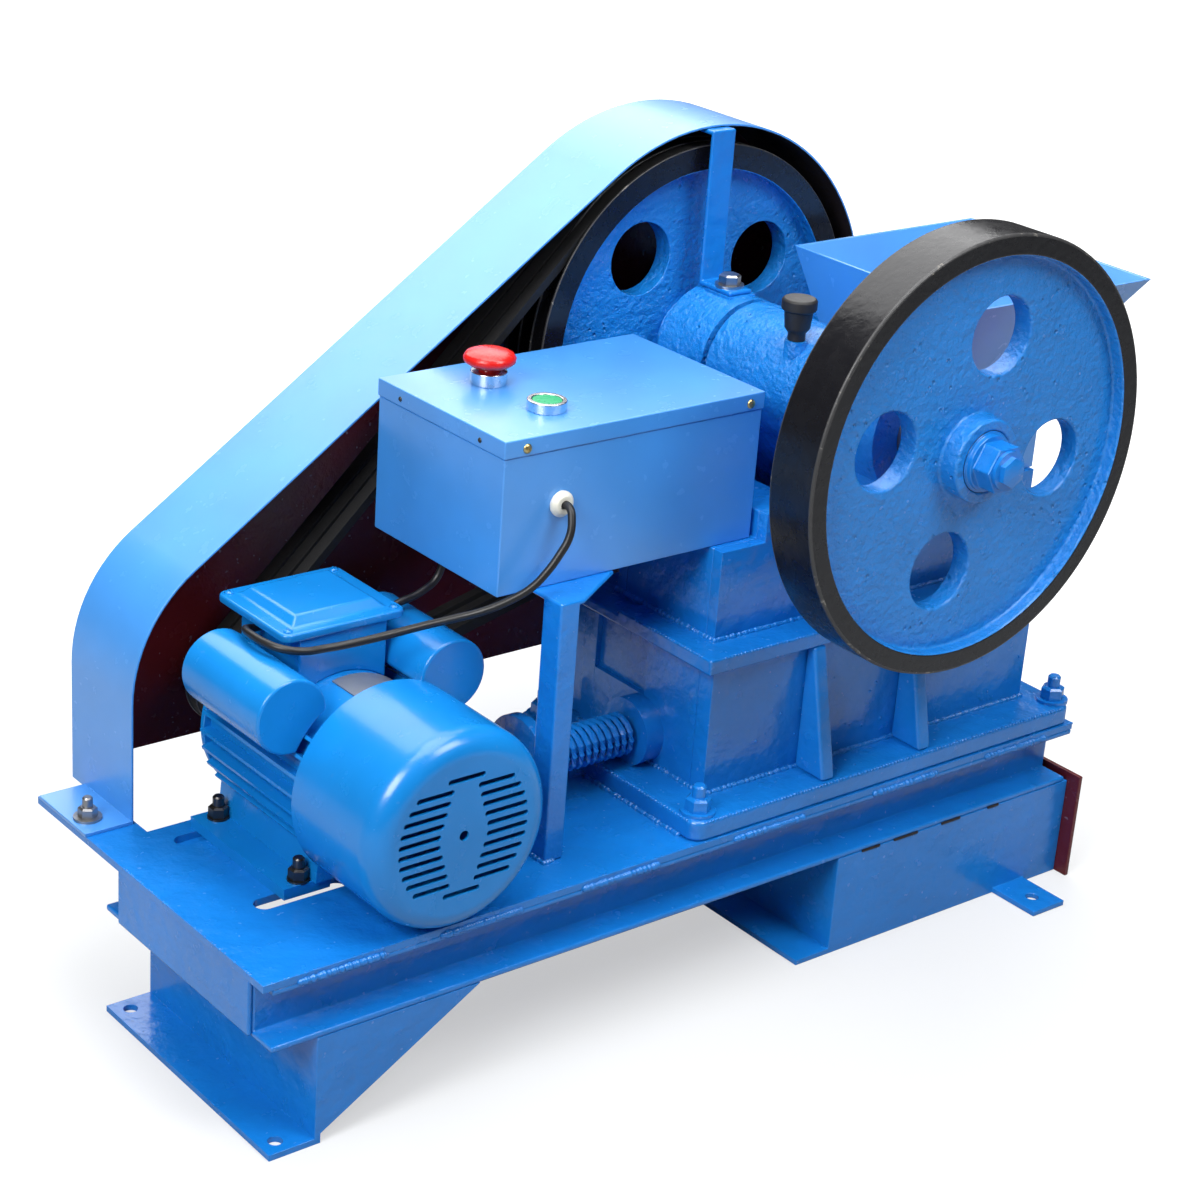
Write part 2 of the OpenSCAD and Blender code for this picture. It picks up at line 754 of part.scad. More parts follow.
// Outline of a wheel's half section: x is the radius, y runs from its outer side inwards
module wheel_section(d, w, rim_in, boss_from, boss_w) {
    translate([rim_in, 0]) square([d / 2 - rim_in, w]);
    translate([shaft_d / 2, recess]) square([rim_in - shaft_d / 2 + 1, web_t]);
    translate([shaft_d / 2, boss_from]) square([(boss_d - shaft_d) / 2, boss_w]);
}

module web_holes(w) {
    for (i = [0:3]) rotate(90 * i) translate([web_hole_circle / 2, 0, -1]) cylinder(d = web_hole_d, h = w + 2);
}

module near_flywheel() {
    turned = 79;
    color(black) placed() translate([shaft_x, near_wheel_y, shaft_z]) rotate([-90, 0, 0]) difference() {
        rotate_extrude()
            wheel_section(flywheel_d, flywheel_w, flywheel_d / 2 - rim_t, -boss_out, flywheel_w + boss_out);
        rotate(-turned) web_holes(flywheel_w);
    }
}

// Grooves of a pulley's rim, wider outwards and a little wider than its belts
module belt_grooves(r) {
    over = 1;
    half = belt_w / 2 + groove_gap;
    top = half + belt_flank * (belt_sunk + over) / belt_h;
    foot = half - belt_flank * (groove_depth - belt_sunk) / belt_h;
    for (i = [0:belts - 1]) translate([r, belt_edge + (i + 0.5) * belt_pitch])
        polygon([[over, -top], [over, top], [-groove_depth, foot], [-groove_depth, -foot]]);
}

module pulley_wheel() {
    turned = 39;
    rim_in = pulley_wheel_d / 2 - rim_t - 4;
    color(black) placed() translate([shaft_x, far_wheel_y, shaft_z]) rotate([-90, 0, 0]) difference() {
        rotate_extrude() difference() {
            wheel_section(pulley_wheel_d, pulley_wheel_w, rim_in, 0, pulley_wheel_w + boss_out);
            belt_grooves(pulley_wheel_d / 2);
        }
        rotate(-turned) web_holes(pulley_wheel_w);
    }
}

module motor_pulley() {
    r = motor_pulley_d / 2;
    shaft_end = far_wheel_y + pulley_wheel_w + 4;
    color("#3a3c40") placed() translate([motor_x, 0, motor_z]) rotate([-90, 0, 0]) {
        translate([0, 0, motor_end + 4]) cylinder(d = motor_shaft_d, h = shaft_end - motor_end - 4);
        translate([0, 0, far_wheel_y]) rotate_extrude() difference() {
            square([r, pulley_wheel_w]);
            belt_grooves(r);
        }
    }
}

// Corners of a belt's section where its back runs at radius r round a centre on the line between the pulleys
function belt_ring(centre, r, angle) =
    let (back = belt_w / 2, foot = back - belt_flank)
    [for (c = [[r, -back], [r, back], [r - belt_h, foot], [r - belt_h, -foot]])
        [centre + c.x * cos(angle), c.x * sin(angle), c.y]];

// Each belt is one closed sweep: round the motor's pulley, along a run, round the wheel and back
module drive_belts() {
    big = pulley_wheel_d / 2 - belt_sunk;
    small = motor_pulley_d / 2 - belt_sunk;
    span = [shaft_x - motor_x, shaft_z - motor_z];
    dist = norm(span);
    wrap = asin((big - small) / dist);
    steps = 16;
    wheel_steps = 36;
    n = steps + wheel_steps + 2;
    rings = concat(
        [for (i = [0:steps]) each belt_ring(0, small, 90 + wrap + i * (180 - 2 * wrap) / steps)],
        [for (i = [0:wheel_steps]) each belt_ring(dist, big, -90 - wrap + i * (180 + 2 * wrap) / wheel_steps)]);
    sides = [for (k = [0:n - 1], i = [0:3])
        let (j = (i + 1) % 4, next = 4 * ((k + 1) % n))
        each [[4 * k + i, 4 * k + j, next + j], [4 * k + i, next + j, next + i]]];
    color("#17181a") placed() for (i = [0:belts - 1])
        translate([motor_x, far_wheel_y + belt_edge + (i + 0.5) * belt_pitch, motor_z]) rotate([90, 0, 0])
            rotate(atan2(span.y, span.x)) polyhedron(points = rings, faces = sides, convexity = 10);
}

// The closed outline of the guard, drawn inwards by an inset
module guard_outline(inset) {
    normal = [-sin(guard_tilt), cos(guard_tilt)];
    bend = [bend_x, bend_z];
    wheel = [shaft_x, shaft_z];
    translate(bend) circle(guard_bend_r - inset, $fn = 96);
    translate(wheel) circle(guard_r - inset, $fn = 96);
    polygon([bend, wheel, wheel + (guard_r - inset) * normal, bend + (guard_bend_r - inset) * normal]);
    translate([guard_x + inset, deck_z]) square([guard_bend_r - inset, bend_z - deck_z]);
}

// What lies under the line between the guard's two centres
module guard_under() {
    reach = guard_r + 200;
    polygon([[guard_x + sheet_t, 0], [guard_x + sheet_t, bend_z], [bend_x, bend_z], [shaft_x, shaft_z],
        [shaft_x + reach * cos(guard_end), shaft_z - reach * sin(guard_end)], [shaft_x + reach, 0]]);
}

module guard_band() {
    tab_x = guard_x - guard_tab_reach;
    color(blue) placed() {
        side_profile(guard_y, guard_y + guard_w) difference() {
            guard_outline(0);
            guard_outline(sheet_t);
            guard_under();
        }
        translate([tab_x, guard_y, deck_z]) cube([guard_tab_reach + sheet_t, guard_w - 20, guard_tab_t]);
    }
}

module guard_back() {
    corner = [shaft_x + guard_r * cos(guard_end), shaft_z - guard_r * sin(guard_end)];
    foot = deck_z + back_rise;
    color("#4a171b") placed() side_profile(guard_y + guard_w - sheet_t, guard_y + guard_w) difference() {
        union() {
            guard_outline(sheet_t);
            polygon([[guard_x + sheet_t, foot], [guard_x + sheet_t, bend_z], [shaft_x, shaft_z],
                corner - [sheet_t, 0], [shaft_x, foot]]);
        }
        polygon([[guard_x - 10, 0], [guard_x - 10, foot], [guard_x + sheet_t, foot], [shaft_x, foot],
            corner, corner + [200, 0], [shaft_x + 400, 0]]);
    }
}

// Strap from the far bearing housing up to the guard's edge
module guard_strap() {
    foot_z = shaft_z + hub_d / 2;
    foot_y0 = mid_y + housing_out - 40;
    plane_y = mid_y + housing_out - strap_t;
    lip_z = shaft_z + sqrt(pow(guard_r - sheet_t, 2) - pow(strap_w / 2, 2)) - strap_t;
    color(blue) placed() translate([shaft_x - strap_w / 2, 0, 0]) {
        translate([0, foot_y0, foot_z]) cube([strap_w, 40, strap_t]);
        translate([0, plane_y, foot_z]) cube([strap_w, strap_t, lip_z + strap_t - foot_z]);
        translate([0, plane_y, lip_z]) cube([strap_w, guard_y + 10 - plane_y, strap_t]);
    }
}

// One level of the hopper: corner, length and width of its rectangle at a height
module hopper_block(x, y, l, w, z, h, mouth_x, mouth_y, mouth_l, mouth_w) {
    polyhedron(points = [[x, y, z], [x + l, y, z], [x + l, y + w, z], [x, y + w, z],
        [mouth_x, mouth_y, z + h], [mouth_x + mouth_l, mouth_y, z + h],
        [mouth_x + mouth_l, mouth_y + mouth_w, z + h], [mouth_x, mouth_y + mouth_w, z + h]],
        faces = [[0, 1, 2, 3], [7, 6, 5, 4], [4, 5, 1, 0], [5, 6, 2, 1], [6, 7, 3, 2], [7, 4, 0, 3]]);
}

// Flared mouth on a straight neck, open at the rear of the neck where the jaw swings
module hopper() {
    t = hopper_t;
    neck_l = neck_end - neck_x;
    neck_y = mid_y - neck_w / 2;
    flare_h = hopper_z - neck_z;
    mouth_y = mid_y - hopper_w / 2;
    color(blue) placed() difference() {
        union() {
            translate([neck_x, neck_y, upper_top]) cube([neck_l, neck_w, hopper_neck]);
            hopper_block(neck_x, neck_y, neck_l, neck_w, neck_z, flare_h,
                hopper_x, mouth_y, hopper_l, hopper_w);
        }
        translate([neck_x + t, neck_y + t, upper_top - 1])
            cube([neck_l - 2 * t, neck_w - 2 * t, hopper_neck + 2]);
        hopper_block(neck_x + t, neck_y + t, neck_l - 2 * t, neck_w - 2 * t, neck_z, flare_h + 0.01,
            hopper_x + t, mouth_y + t, hopper_l - 2 * t, hopper_w - 2 * t);
        translate([neck_x - 1, neck_y + t, upper_top - 1]) cube([t + 2, neck_w - 2 * t, hopper_neck - 16]);
    }
}

// Finned frame of the motor on its two feet
module motor_body() {
    foot_w = 34;
    rim_d = cowl_d - 2 * cowl_t - run_gap;
    color(blue) placed() difference() {
        union() {
            rod_y(motor_x, motor_y - cowl_lap, motor_z, rim_d, cowl_lap + 1);
            side_profile(motor_y, motor_end) translate([motor_x, motor_z]) {
                circle(core_r);
                for (side = [0, 180], a = [-36:12:36]) rotate(side + a) translate([core_r - 2, -1.3])
                    square([fin_h + 2, 2.6]);
                for (side = [-1, 1]) {
                    translate([side * motor_bolt_x / 2 - foot_w / 2, -motor_rise]) square([foot_w, foot_t]);
                    polygon([[side * 40, -motor_rise], [side * 56, -motor_rise], [side * 52, -36],
                        [side * 34, -36]]);
                }
            }
        }
        for (side = [-1, 1], y = [0, motor_bolt_y])
            translate([motor_x + side * motor_bolt_x / 2, foot_y + y, deck_z - 1])
                cylinder(d = slot_d, h = foot_t + 2);
        translate([motor_x - motor_bolt_x, motor_y, deck_z - 1])
            cube([2 * motor_bolt_x, foot_back, foot_t + 1]);
    }
}

// Bearing shield at the pulley end
module motor_shield() {
    r = motor_d / 2 - 3;
    color(blue) placed() translate([motor_x, motor_end, motor_z]) rotate([-90, 0, 0]) rotate_extrude()
        polygon([[motor_shaft_d / 2 + run_gap, 0], [r, 0], [r, 5], [r - 8, 9], [34, 12], [30, shield_l],
            [motor_shaft_d / 2 + run_gap, shield_l]]);
}

// A slot with round ends, from one x to another
module grille_slot(from, to, y) {
    r = grille_slot_w / 2;
    for (x = [from + r, to - r]) translate([x, y]) circle(r, $fn = 16);
    translate([from + r, y - r]) square([to - from - 2 * r, grille_slot_w]);
}

// Rows of slots inside a circle, about a whole diamond in the middle
module grille() {
    last = (grille_rows - 1) / 2;
    diamond_h = last * grille_pitch;
    for (row = [-last:last]) {
        y = row * grille_pitch;
        reach = sqrt(pow(grille_r, 2) - pow(y, 2));
        inner = grille_gap + grille_diamond * (1 - abs(y) / diamond_h);
        if (abs(row) == last) grille_slot(-grille_end_half, grille_end_half, y);
        else for (side = [0, 1]) mirror([side, 0]) grille_slot(inner, reach, y);
    }
}

// Fan cowl: a drawn cup with a rounded edge and a grille of slots in its end
module fan_cowl() {
    r = cowl_d / 2;
    bend = 18;
    color(blue) placed() translate([motor_x, cowl_y, motor_z]) rotate([-90, 0, 0]) difference() {
        rotate_extrude() difference() {
            union() {
                translate([0, bend]) square([r, cowl_l - bend]);
                square([r - bend, bend + 1]);
                intersection() {
                    translate([r - bend, bend]) circle(bend);
                    square([r, bend + 1]);
                }
            }
            translate([0, bend]) square([r - cowl_t, cowl_l]);
            translate([0, cowl_t]) square([r - bend, bend]);
            translate([r - bend, bend]) circle(bend - cowl_t);
        }
        translate([0, 0, -1]) linear_extrude(cowl_t + 2) {
            grille();
            circle(d = grille_hole_d);
        }
    }
}

module terminal_box() {
    color(blue) placed() difference() {
        translate([motor_x - terminal_l / 2, terminal_y - terminal_w / 2, saddle_z])
            cube([terminal_l, terminal_w, terminal_top - saddle_z]);
        rod_y(motor_x, terminal_y - terminal_w, motor_z, 2 * core_r + run_gap, 2 * terminal_w);
    }
}

// Lid with a raised, chamfered top
module terminal_lid() {
    color(blue) placed() translate([motor_x - lid_l / 2, terminal_y + 4 - lid_w / 2, terminal_top]) {
        round_plate(lid_l, lid_w, lid_rim, 7);
        hopper_block(12, 10, lid_l - 24, lid_w - 20, lid_rim - 0.5, lid_h - lid_rim,
            19, 17, lid_l - 38, lid_w - 34);
    }
}

// Round covers on each shoulder of the motor, on saddles
module capacitor_covers() {
    r = capacitor_d / 2;
    rise = capacitor_z - motor_z;
    color(blue) placed() for (side = [-1, 1]) side_profile(capacitor_y, capacitor_y + capacitor_l)
        translate([motor_x, motor_z]) difference() {
            union() {
                translate([side * capacitor_x, rise]) circle(r);
                polygon([[side * capacitor_x, rise - r], [side * capacitor_x, rise],
                    [side * (capacitor_x - r), rise], [side * 44, 50], [side * 56, 36]]);
            }
            circle(motor_d / 2 + 0.3);
        }
}

module control_box() {
    color(blue) placed() translate([control_x, control_y, control_z])
        cube([control_l, control_w, control_h - control_lid_h]);
}

module control_lid() {
    color(blue) placed() translate([control_x - 1, control_y - 1, control_top - control_lid_h])
        cube([control_l + 2, control_w + 2, control_lid_h]);
}

// Square bar post with the bracket plate under the control box
module post() {
    color(blue) placed() {
        translate([post_x - post_t, post_y, deck_z]) cube([post_t, post_w, post_h - bracket_t]);
        translate([0, 0, control_z - bracket_t]) linear_extrude(bracket_t)
            polygon([[post_x - post_t, post_y], [post_x + 3, post_y], [post_x + bracket_l, control_y],
                [post_x + bracket_l, control_y + bracket_w], [post_x - post_t, control_y + bracket_w]]);
    }
}

module button_bezels() {
    color("silver") placed() translate([0, 0, control_top]) {
        translate([stop_x, stop_y, 0]) difference() {
            cylinder(d = stop_collar_d, h = stop_collar_h);
            translate([0, 0, 3]) cylinder(d = stop_stem_d + 2 * run_gap, h = stop_collar_h);
        }
        translate([start_x, start_y, 0]) difference() {
            cylinder(d = bezel_d, h = bezel_h);
            translate([0, 0, 1.5]) cylinder(d = cap_d + 2 * run_gap, h = bezel_h);
        }
    }
}

// Mushroom head of the stop button on its stem
module stop_head() {
    r = stop_d / 2;
    z = stop_collar_h + stop_lift;
    color("red") placed() translate([stop_x, stop_y, control_top]) rotate_extrude() polygon([[0, stop_stem_z],
        [stop_stem_d / 2, stop_stem_z], [stop_stem_d / 2, z], [r - 4, z], [r, z + 3], [r, z + 6], [r - 2, z + 9],
        [r - 7, z + 11], [0, z + 12]]);
}

module start_cap() {
    color("seagreen") placed() translate([start_x, start_y, control_top + 5]) cylinder(d = cap_d, h = 2.5);
}

module grommet() {
    bore = lead_d + 2 * run_gap;
    color("white") placed() translate([grommet_x, control_y - grommet_l, grommet_z]) rotate([-90, 0, 0])
        rotate_extrude() polygon([[bore / 2, 0], [grommet_d / 2 - 3, 0], [grommet_d / 2, 3],
            [grommet_d / 2, grommet_l], [bore / 2, grommet_l]]);
}

module control_lead() {
    color(black) placed() translate([0, mid_y, 0]) tube(control_lead_route, lead_d / 2, 8);
}

module supply_lead() {
    color(black) placed() translate([0, mid_y, 0]) tube(supply_lead_route, lead_d / 2, 8);
}

near_channel();
far_channel();
deck_plate();
channel_end_plate();
left_leg();
leg_box();
end_panel();
crusher_flange();
lower_side_walls();
lower_rear_wall();
front_wall();
collar();
upper_side_walls();
upper_rear_wall();
side_ribs();
bearing_housings();
fixed_jaw_plate();
cheek_plates();
toggle_plate();
tension_rod();
spring();
swing_jaw();
swing_jaw_plate();
grease_cup();
shaft();
near_flywheel();
pulley_wheel();
hopper();
guard_band();
guard_back();
guard_strap();
drive_belts();
motor_body();
motor_shield();
fan_cowl();
terminal_box();
terminal_lid();
capacitor_covers();
motor_pulley();
control_box();
control_lid();
post();
button_bezels();
stop_head();
start_cap();
grommet();
control_lead();
supply_lead();
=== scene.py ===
"""Looks of a small laboratory jaw crusher: paint, castings, welds, fasteners, leads and a pale studio."""

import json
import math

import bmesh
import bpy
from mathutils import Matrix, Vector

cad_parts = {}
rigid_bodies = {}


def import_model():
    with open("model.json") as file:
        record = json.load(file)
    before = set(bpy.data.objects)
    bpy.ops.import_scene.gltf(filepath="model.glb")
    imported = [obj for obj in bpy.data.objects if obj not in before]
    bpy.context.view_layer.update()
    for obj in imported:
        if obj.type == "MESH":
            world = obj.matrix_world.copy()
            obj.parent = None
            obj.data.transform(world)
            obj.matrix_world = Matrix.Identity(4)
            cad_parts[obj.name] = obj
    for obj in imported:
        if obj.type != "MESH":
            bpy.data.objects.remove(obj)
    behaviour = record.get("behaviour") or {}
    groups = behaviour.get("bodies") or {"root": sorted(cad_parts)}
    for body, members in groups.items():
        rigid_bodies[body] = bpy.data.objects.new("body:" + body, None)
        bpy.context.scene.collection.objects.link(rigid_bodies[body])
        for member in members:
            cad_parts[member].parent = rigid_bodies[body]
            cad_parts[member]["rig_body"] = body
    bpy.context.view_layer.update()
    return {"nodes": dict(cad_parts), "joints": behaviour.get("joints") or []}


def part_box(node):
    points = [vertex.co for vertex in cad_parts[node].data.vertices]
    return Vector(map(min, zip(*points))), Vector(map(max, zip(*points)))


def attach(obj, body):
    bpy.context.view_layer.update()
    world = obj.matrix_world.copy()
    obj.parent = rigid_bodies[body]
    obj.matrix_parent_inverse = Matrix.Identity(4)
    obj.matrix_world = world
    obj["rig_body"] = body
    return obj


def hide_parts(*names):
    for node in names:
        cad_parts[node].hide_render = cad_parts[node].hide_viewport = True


bl_info = {
    "name": "Jaw crusher finish",
    "version": (1, 0, 0),
    "blender": (4, 5, 0),
    "location": "View3D > Sidebar > Crusher",
    "description": "Paints and dresses a laboratory jaw crusher and sets up its studio",
    "category": "Object",
}

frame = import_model()
JOINTS = {joint["name"]: joint for joint in frame["joints"]}

# The near left corner of the base, from which the machine's places are given in millimetres
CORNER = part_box("near_channel")[0]
SHAFT = Vector(JOINTS["flywheel_spin"]["pos_m"])
DECK_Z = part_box("deck_plate")[1].z * 1000
FLANGE_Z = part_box("crusher_flange")[1].z * 1000


def at(x, y, z):
    """A point given in millimetres from the base's near left corner and the floor."""
    return Vector((CORNER.x + x / 1000, CORNER.y + y / 1000, z / 1000))


# Sizes and colours that a user would change

class CrusherPaint(bpy.types.PropertyGroup):
    """Colours of the finishes."""
    blue: bpy.props.FloatVectorProperty(
        name="Blue enamel", description="Colour of the machine's paint", subtype="COLOR",
        size=4, min=0, max=1, default=(0.006, 0.185, 0.610, 1))
    sheet: bpy.props.FloatVectorProperty(
        name="Sheet blue", description="Colour of the guard's and the control box's paint", subtype="COLOR",
        size=4, min=0, max=1, default=(0.035, 0.270, 0.740, 1))
    # Casting blue is the blue enamel painted lighter, as painted light that brightens the wheel web's near
    # face; the casting's lumps and pits are real
    cast: bpy.props.FloatVectorProperty(
        name="Casting blue", description="Colour of the paint on wheels and housings", subtype="COLOR",
        size=4, min=0, max=1, default=(0.008, 0.220, 0.690, 1))
    motor: bpy.props.FloatVectorProperty(
        name="Motor blue", description="Colour of the motor's paint", subtype="COLOR",
        size=4, min=0, max=1, default=(0.005, 0.205, 0.600, 1))
    black: bpy.props.FloatVectorProperty(
        name="Black enamel", description="Colour of the wheel rims", subtype="COLOR",
        size=4, min=0, max=1, default=(0.006, 0.006, 0.008, 1))
    primer: bpy.props.FloatVectorProperty(
        name="Red primer", description="Colour of the primed sheet", subtype="COLOR",
        size=4, min=0, max=1, default=(0.110, 0.010, 0.014, 1))
    red: bpy.props.FloatVectorProperty(
        name="Stop button", description="Colour of the stop button's head", subtype="COLOR",
        size=4, min=0, max=1, default=(0.62, 0.012, 0.010, 1))
    green: bpy.props.FloatVectorProperty(
        name="Start button", description="Colour of the start button's cap", subtype="COLOR",
        size=4, min=0, max=1, default=(0.03, 0.36, 0.16, 1))


class CrusherDetail(bpy.types.PropertyGroup):
    """Sizes of the small details."""
    edge: bpy.props.FloatProperty(
        name="Edge radius", description="Rounding of plate edges", unit="LENGTH",
        default=0.0016, min=0, max=0.003)
    bead: bpy.props.FloatProperty(
        name="Weld bead", description="Width of a weld bead", unit="LENGTH",
        default=0.0060, min=0.002, max=0.01)
    lump_pitch: bpy.props.FloatProperty(
        name="Weld ripple", description="Distance between the ripples of a weld", unit="LENGTH",
        default=0.0021, min=0.001, max=0.006)
    plate_turn: bpy.props.FloatProperty(
        name="Nameplate", description="Place of the nameplate round the motor", subtype="ANGLE",
        default=math.radians(76))
    lead: bpy.props.FloatProperty(
        name="Lead", description="Diameter of the leads", unit="LENGTH", default=0.006, min=0.004, max=0.01)


class CrusherStage(bpy.types.PropertyGroup):
    """The view and the floor."""
    azimuth: bpy.props.FloatProperty(
        name="Azimuth", description="Turn of the camera round the machine", subtype="ANGLE",
        default=math.radians(-40.105))
    elevation: bpy.props.FloatProperty(
        name="Elevation", description="Height of the camera as an angle", subtype="ANGLE",
        default=math.radians(22.969))
    roll: bpy.props.FloatProperty(
        name="Roll", description="Tilt of the camera about its own axis", subtype="ANGLE",
        default=math.radians(4.298))
    focal: bpy.props.FloatProperty(
        name="Focal length", description="Focal length in millimetres on a 36 mm sensor", default=79.79)
    floor: bpy.props.FloatVectorProperty(
        name="Floor", description="Colour of the floor", subtype="COLOR", size=4, min=0, max=1,
        default=(0.33, 0.34, 0.35, 1))


def paint():
    return bpy.context.scene.crusher_paint


def detail():
    return bpy.context.scene.crusher_detail


# Shader groups

def node_group(name, inputs, outputs):
    """An empty shader group with float, vector or colour sockets."""
    group = bpy.data.node_groups.new(name, "ShaderNodeTree")
    for label, kind, value in inputs:
        socket = group.interface.new_socket(label, in_out="INPUT", socket_type=kind)
        socket.default_value = value
    for label, kind in outputs:
        group.interface.new_socket(label, in_out="OUTPUT", socket_type=kind)
    entry = group.nodes.new("NodeGroupInput")
    leave = group.nodes.new("NodeGroupOutput")
    return group, entry, leave


def maths(tree, operation, a, b):
    """A Math node of two sockets or numbers."""
    node = tree.nodes.new("ShaderNodeMath")
    node.operation = operation
    for index, value in enumerate((a, b)):
        if isinstance(value, (int, float)):
            node.inputs[index].default_value = value
        else:
            tree.links.new(value, node.inputs[index])
    return node.outputs[0]


def noise(tree, vector, scale, level=2.0, rough=0.5):
    """The value of a noise texture on Object coordinates."""
    node = tree.nodes.new("ShaderNodeTexNoise")
    node.inputs["Scale"].default_value = scale
    node.inputs["Detail"].default_value = level
    node.inputs["Roughness"].default_value = rough
    tree.links.new(vector, node.inputs["Vector"])
    return node.outputs["Fac"]


def ramp(tree, value, low, high):
    """A smooth step of a value between two limits."""
    node = tree.nodes.new("ShaderNodeMapRange")
    node.interpolation_type = "SMOOTHSTEP"
    node.inputs["From Min"].default_value = low
    node.inputs["From Max"].default_value = high
    tree.links.new(value, node.inputs["Value"])
    return node.outputs["Result"]


def mix_colour(tree, factor, a, b):
    """A colour between two colours or sockets."""
    node = tree.nodes.new("ShaderNodeMix")
    node.data_type = "RGBA"
    tree.links.new(factor, node.inputs[0])
    for index, value in ((6, a), (7, b)):
        if hasattr(value, "is_linked"):
            tree.links.new(value, node.inputs[index])
        else:
            node.inputs[index].default_value = value
    return node.outputs[2]


def make_paint_film():
    """Brushed enamel: broad thick and thin places, fine peel, dust specks."""
    group, entry, leave = node_group(
        "Paint film",
        [("Colour", "NodeSocketColor", (0, 0, 0, 1)), ("Grain", "NodeSocketFloat", 1.0),
         ("Waves", "NodeSocketFloat", 1.0), ("Dust", "NodeSocketFloat", 0.2)],
        [("Colour", "NodeSocketColor"), ("Roughness", "NodeSocketFloat"), ("Height", "NodeSocketFloat")])
    place = group.nodes.new("ShaderNodeTexCoord").outputs["Object"]
    broad = noise(group, place, 9, 3)
    peel = noise(group, place, 420, 2)
    wave = noise(group, place, 60, 3)
    speck = ramp(group, noise(group, place, 190, 1, 0.3), 0.74, 0.80)
    shade = group.nodes.new("ShaderNodeHueSaturation")
    group.links.new(entry.outputs["Colour"], shade.inputs["Color"])
    value = maths(group, "ADD", maths(group, "MULTIPLY", broad, 0.5), 0.75)
    group.links.new(value, shade.inputs["Value"])
    dusty = maths(group, "MULTIPLY", speck, entry.outputs["Dust"])
    dust_colour = (0.35, 0.45, 0.6, 1)
    group.links.new(mix_colour(group, dusty, shade.outputs["Color"], dust_colour), leave.inputs["Colour"])
    rough = maths(group, "ADD", maths(group, "MULTIPLY", wave, 0.16), 0.17)
    dull = maths(group, "MULTIPLY", dusty, 0.4)
    group.links.new(maths(group, "ADD", rough, dull), leave.inputs["Roughness"])
    grain = maths(group, "MULTIPLY", peel, entry.outputs["Grain"])
    waves = maths(group, "MULTIPLY", wave, entry.outputs["Waves"])
    group.links.new(maths(group, "ADD", grain, waves), leave.inputs["Height"])
    return group


def make_cast_skin():
    """The lumps and pits of a sand casting under paint."""
    group, entry, leave = node_group(
        "Cast skin", [("Lumps", "NodeSocketFloat", 1.0), ("Pits", "NodeSocketFloat", 1.0)],
        [("Height", "NodeSocketFloat")])
    place = group.nodes.new("ShaderNodeTexCoord").outputs["Object"]
    lumps = maths(group, "MULTIPLY", noise(group, place, 150, 5, 0.6), entry.outputs["Lumps"])
    cells = group.nodes.new("ShaderNodeTexVoronoi")
    cells.inputs["Scale"].default_value = 120
    group.links.new(place, cells.inputs["Vector"])
    near = maths(group, "SUBTRACT", 1.0, ramp(group, cells.outputs["Distance"], 0.05, 0.25))
    some = ramp(group, noise(group, place, 30, 1), 0.55, 0.65)
    pits = maths(group, "MULTIPLY", near, some)
    deep = maths(group, "MULTIPLY", pits, entry.outputs["Pits"])
    group.links.new(maths(group, "SUBTRACT", lumps, deep), leave.inputs["Height"])
    return group


def make_scuffs():
    """Patches and scratches where a finish is rubbed through."""
    group, entry, leave = node_group(
        "Scuffs", [("Amount", "NodeSocketFloat", 0.5), ("Scale", "NodeSocketFloat", 30.0)],
        [("Mask", "NodeSocketFloat")])
    place = group.nodes.new("ShaderNodeTexCoord").outputs["Object"]
    stretch = group.nodes.new("ShaderNodeMapping")
    group.links.new(place, stretch.inputs["Vector"])
    stretch.inputs["Scale"].default_value = (1.0, 0.15, 1.0)
    lines = group.nodes.new("ShaderNodeTexNoise")
    lines.inputs["Detail"].default_value = 6
    lines.inputs["Roughness"].default_value = 0.75
    group.links.new(entry.outputs["Scale"], lines.inputs["Scale"])
    group.links.new(stretch.outputs["Vector"], lines.inputs["Vector"])
    level = maths(group, "SUBTRACT", 0.85, maths(group, "MULTIPLY", entry.outputs["Amount"], 0.35))
    over = maths(group, "MULTIPLY", maths(group, "SUBTRACT", lines.outputs["Fac"], level), 12.0)
    clamp = group.nodes.new("ShaderNodeClamp")
    group.links.new(over, clamp.inputs["Value"])
    group.links.new(clamp.outputs["Result"], leave.inputs["Mask"])
    return group


def material(name, **sockets):
    """A material with a Principled shader whose plain sockets are set."""
    made = bpy.data.materials.new(name)
    made.use_nodes = True
    shader = made.node_tree.nodes["Principled BSDF"]
    for label, value in sockets.items():
        shader.inputs[label.replace("_", " ")].default_value = value
    return made, made.node_tree, shader


def place_group(tree, group, **values):
    """A group node with its inputs set by name."""
    node = tree.nodes.new("ShaderNodeGroup")
    node.node_tree = group
    for label, value in values.items():
        node.inputs[label.replace("_", " ")].default_value = value
    return node


def bump(tree, shader, height, distance):
    """Feeds a height into the shader's normal."""
    node = tree.nodes.new("ShaderNodeBump")
    node.inputs["Distance"].default_value = distance
    node.inputs["Strength"].default_value = 1.0
    tree.links.new(height, node.inputs["Height"])
    tree.links.new(node.outputs["Normal"], shader.inputs["Normal"])


GROUPS = {}
FINISH = {}


def painted(name, colour, grain, waves, dust, depth, gloss=0.35, lumps=0.0, satin=0.12, coat=1.5):
    """Enamel on sheet, plate or casting."""
    made, tree, shader = material(name, Coat_Weight=gloss, Coat_Roughness=satin, Coat_IOR=coat)
    shader.inputs["Specular IOR Level"].default_value = 0.5
    film = place_group(tree, GROUPS["film"], Colour=colour, Grain=grain, Waves=waves, Dust=dust)
    tree.links.new(film.outputs["Colour"], shader.inputs["Base Color"])
    tree.links.new(film.outputs["Roughness"], shader.inputs["Roughness"])
    height = film.outputs["Height"]
    if lumps:
        skin = place_group(tree, GROUPS["cast"], Lumps=lumps, Pits=lumps * 0.6)
        height = maths(tree, "ADD", height, skin.outputs["Height"])
    bump(tree, shader, height, depth)
    FINISH[name] = made


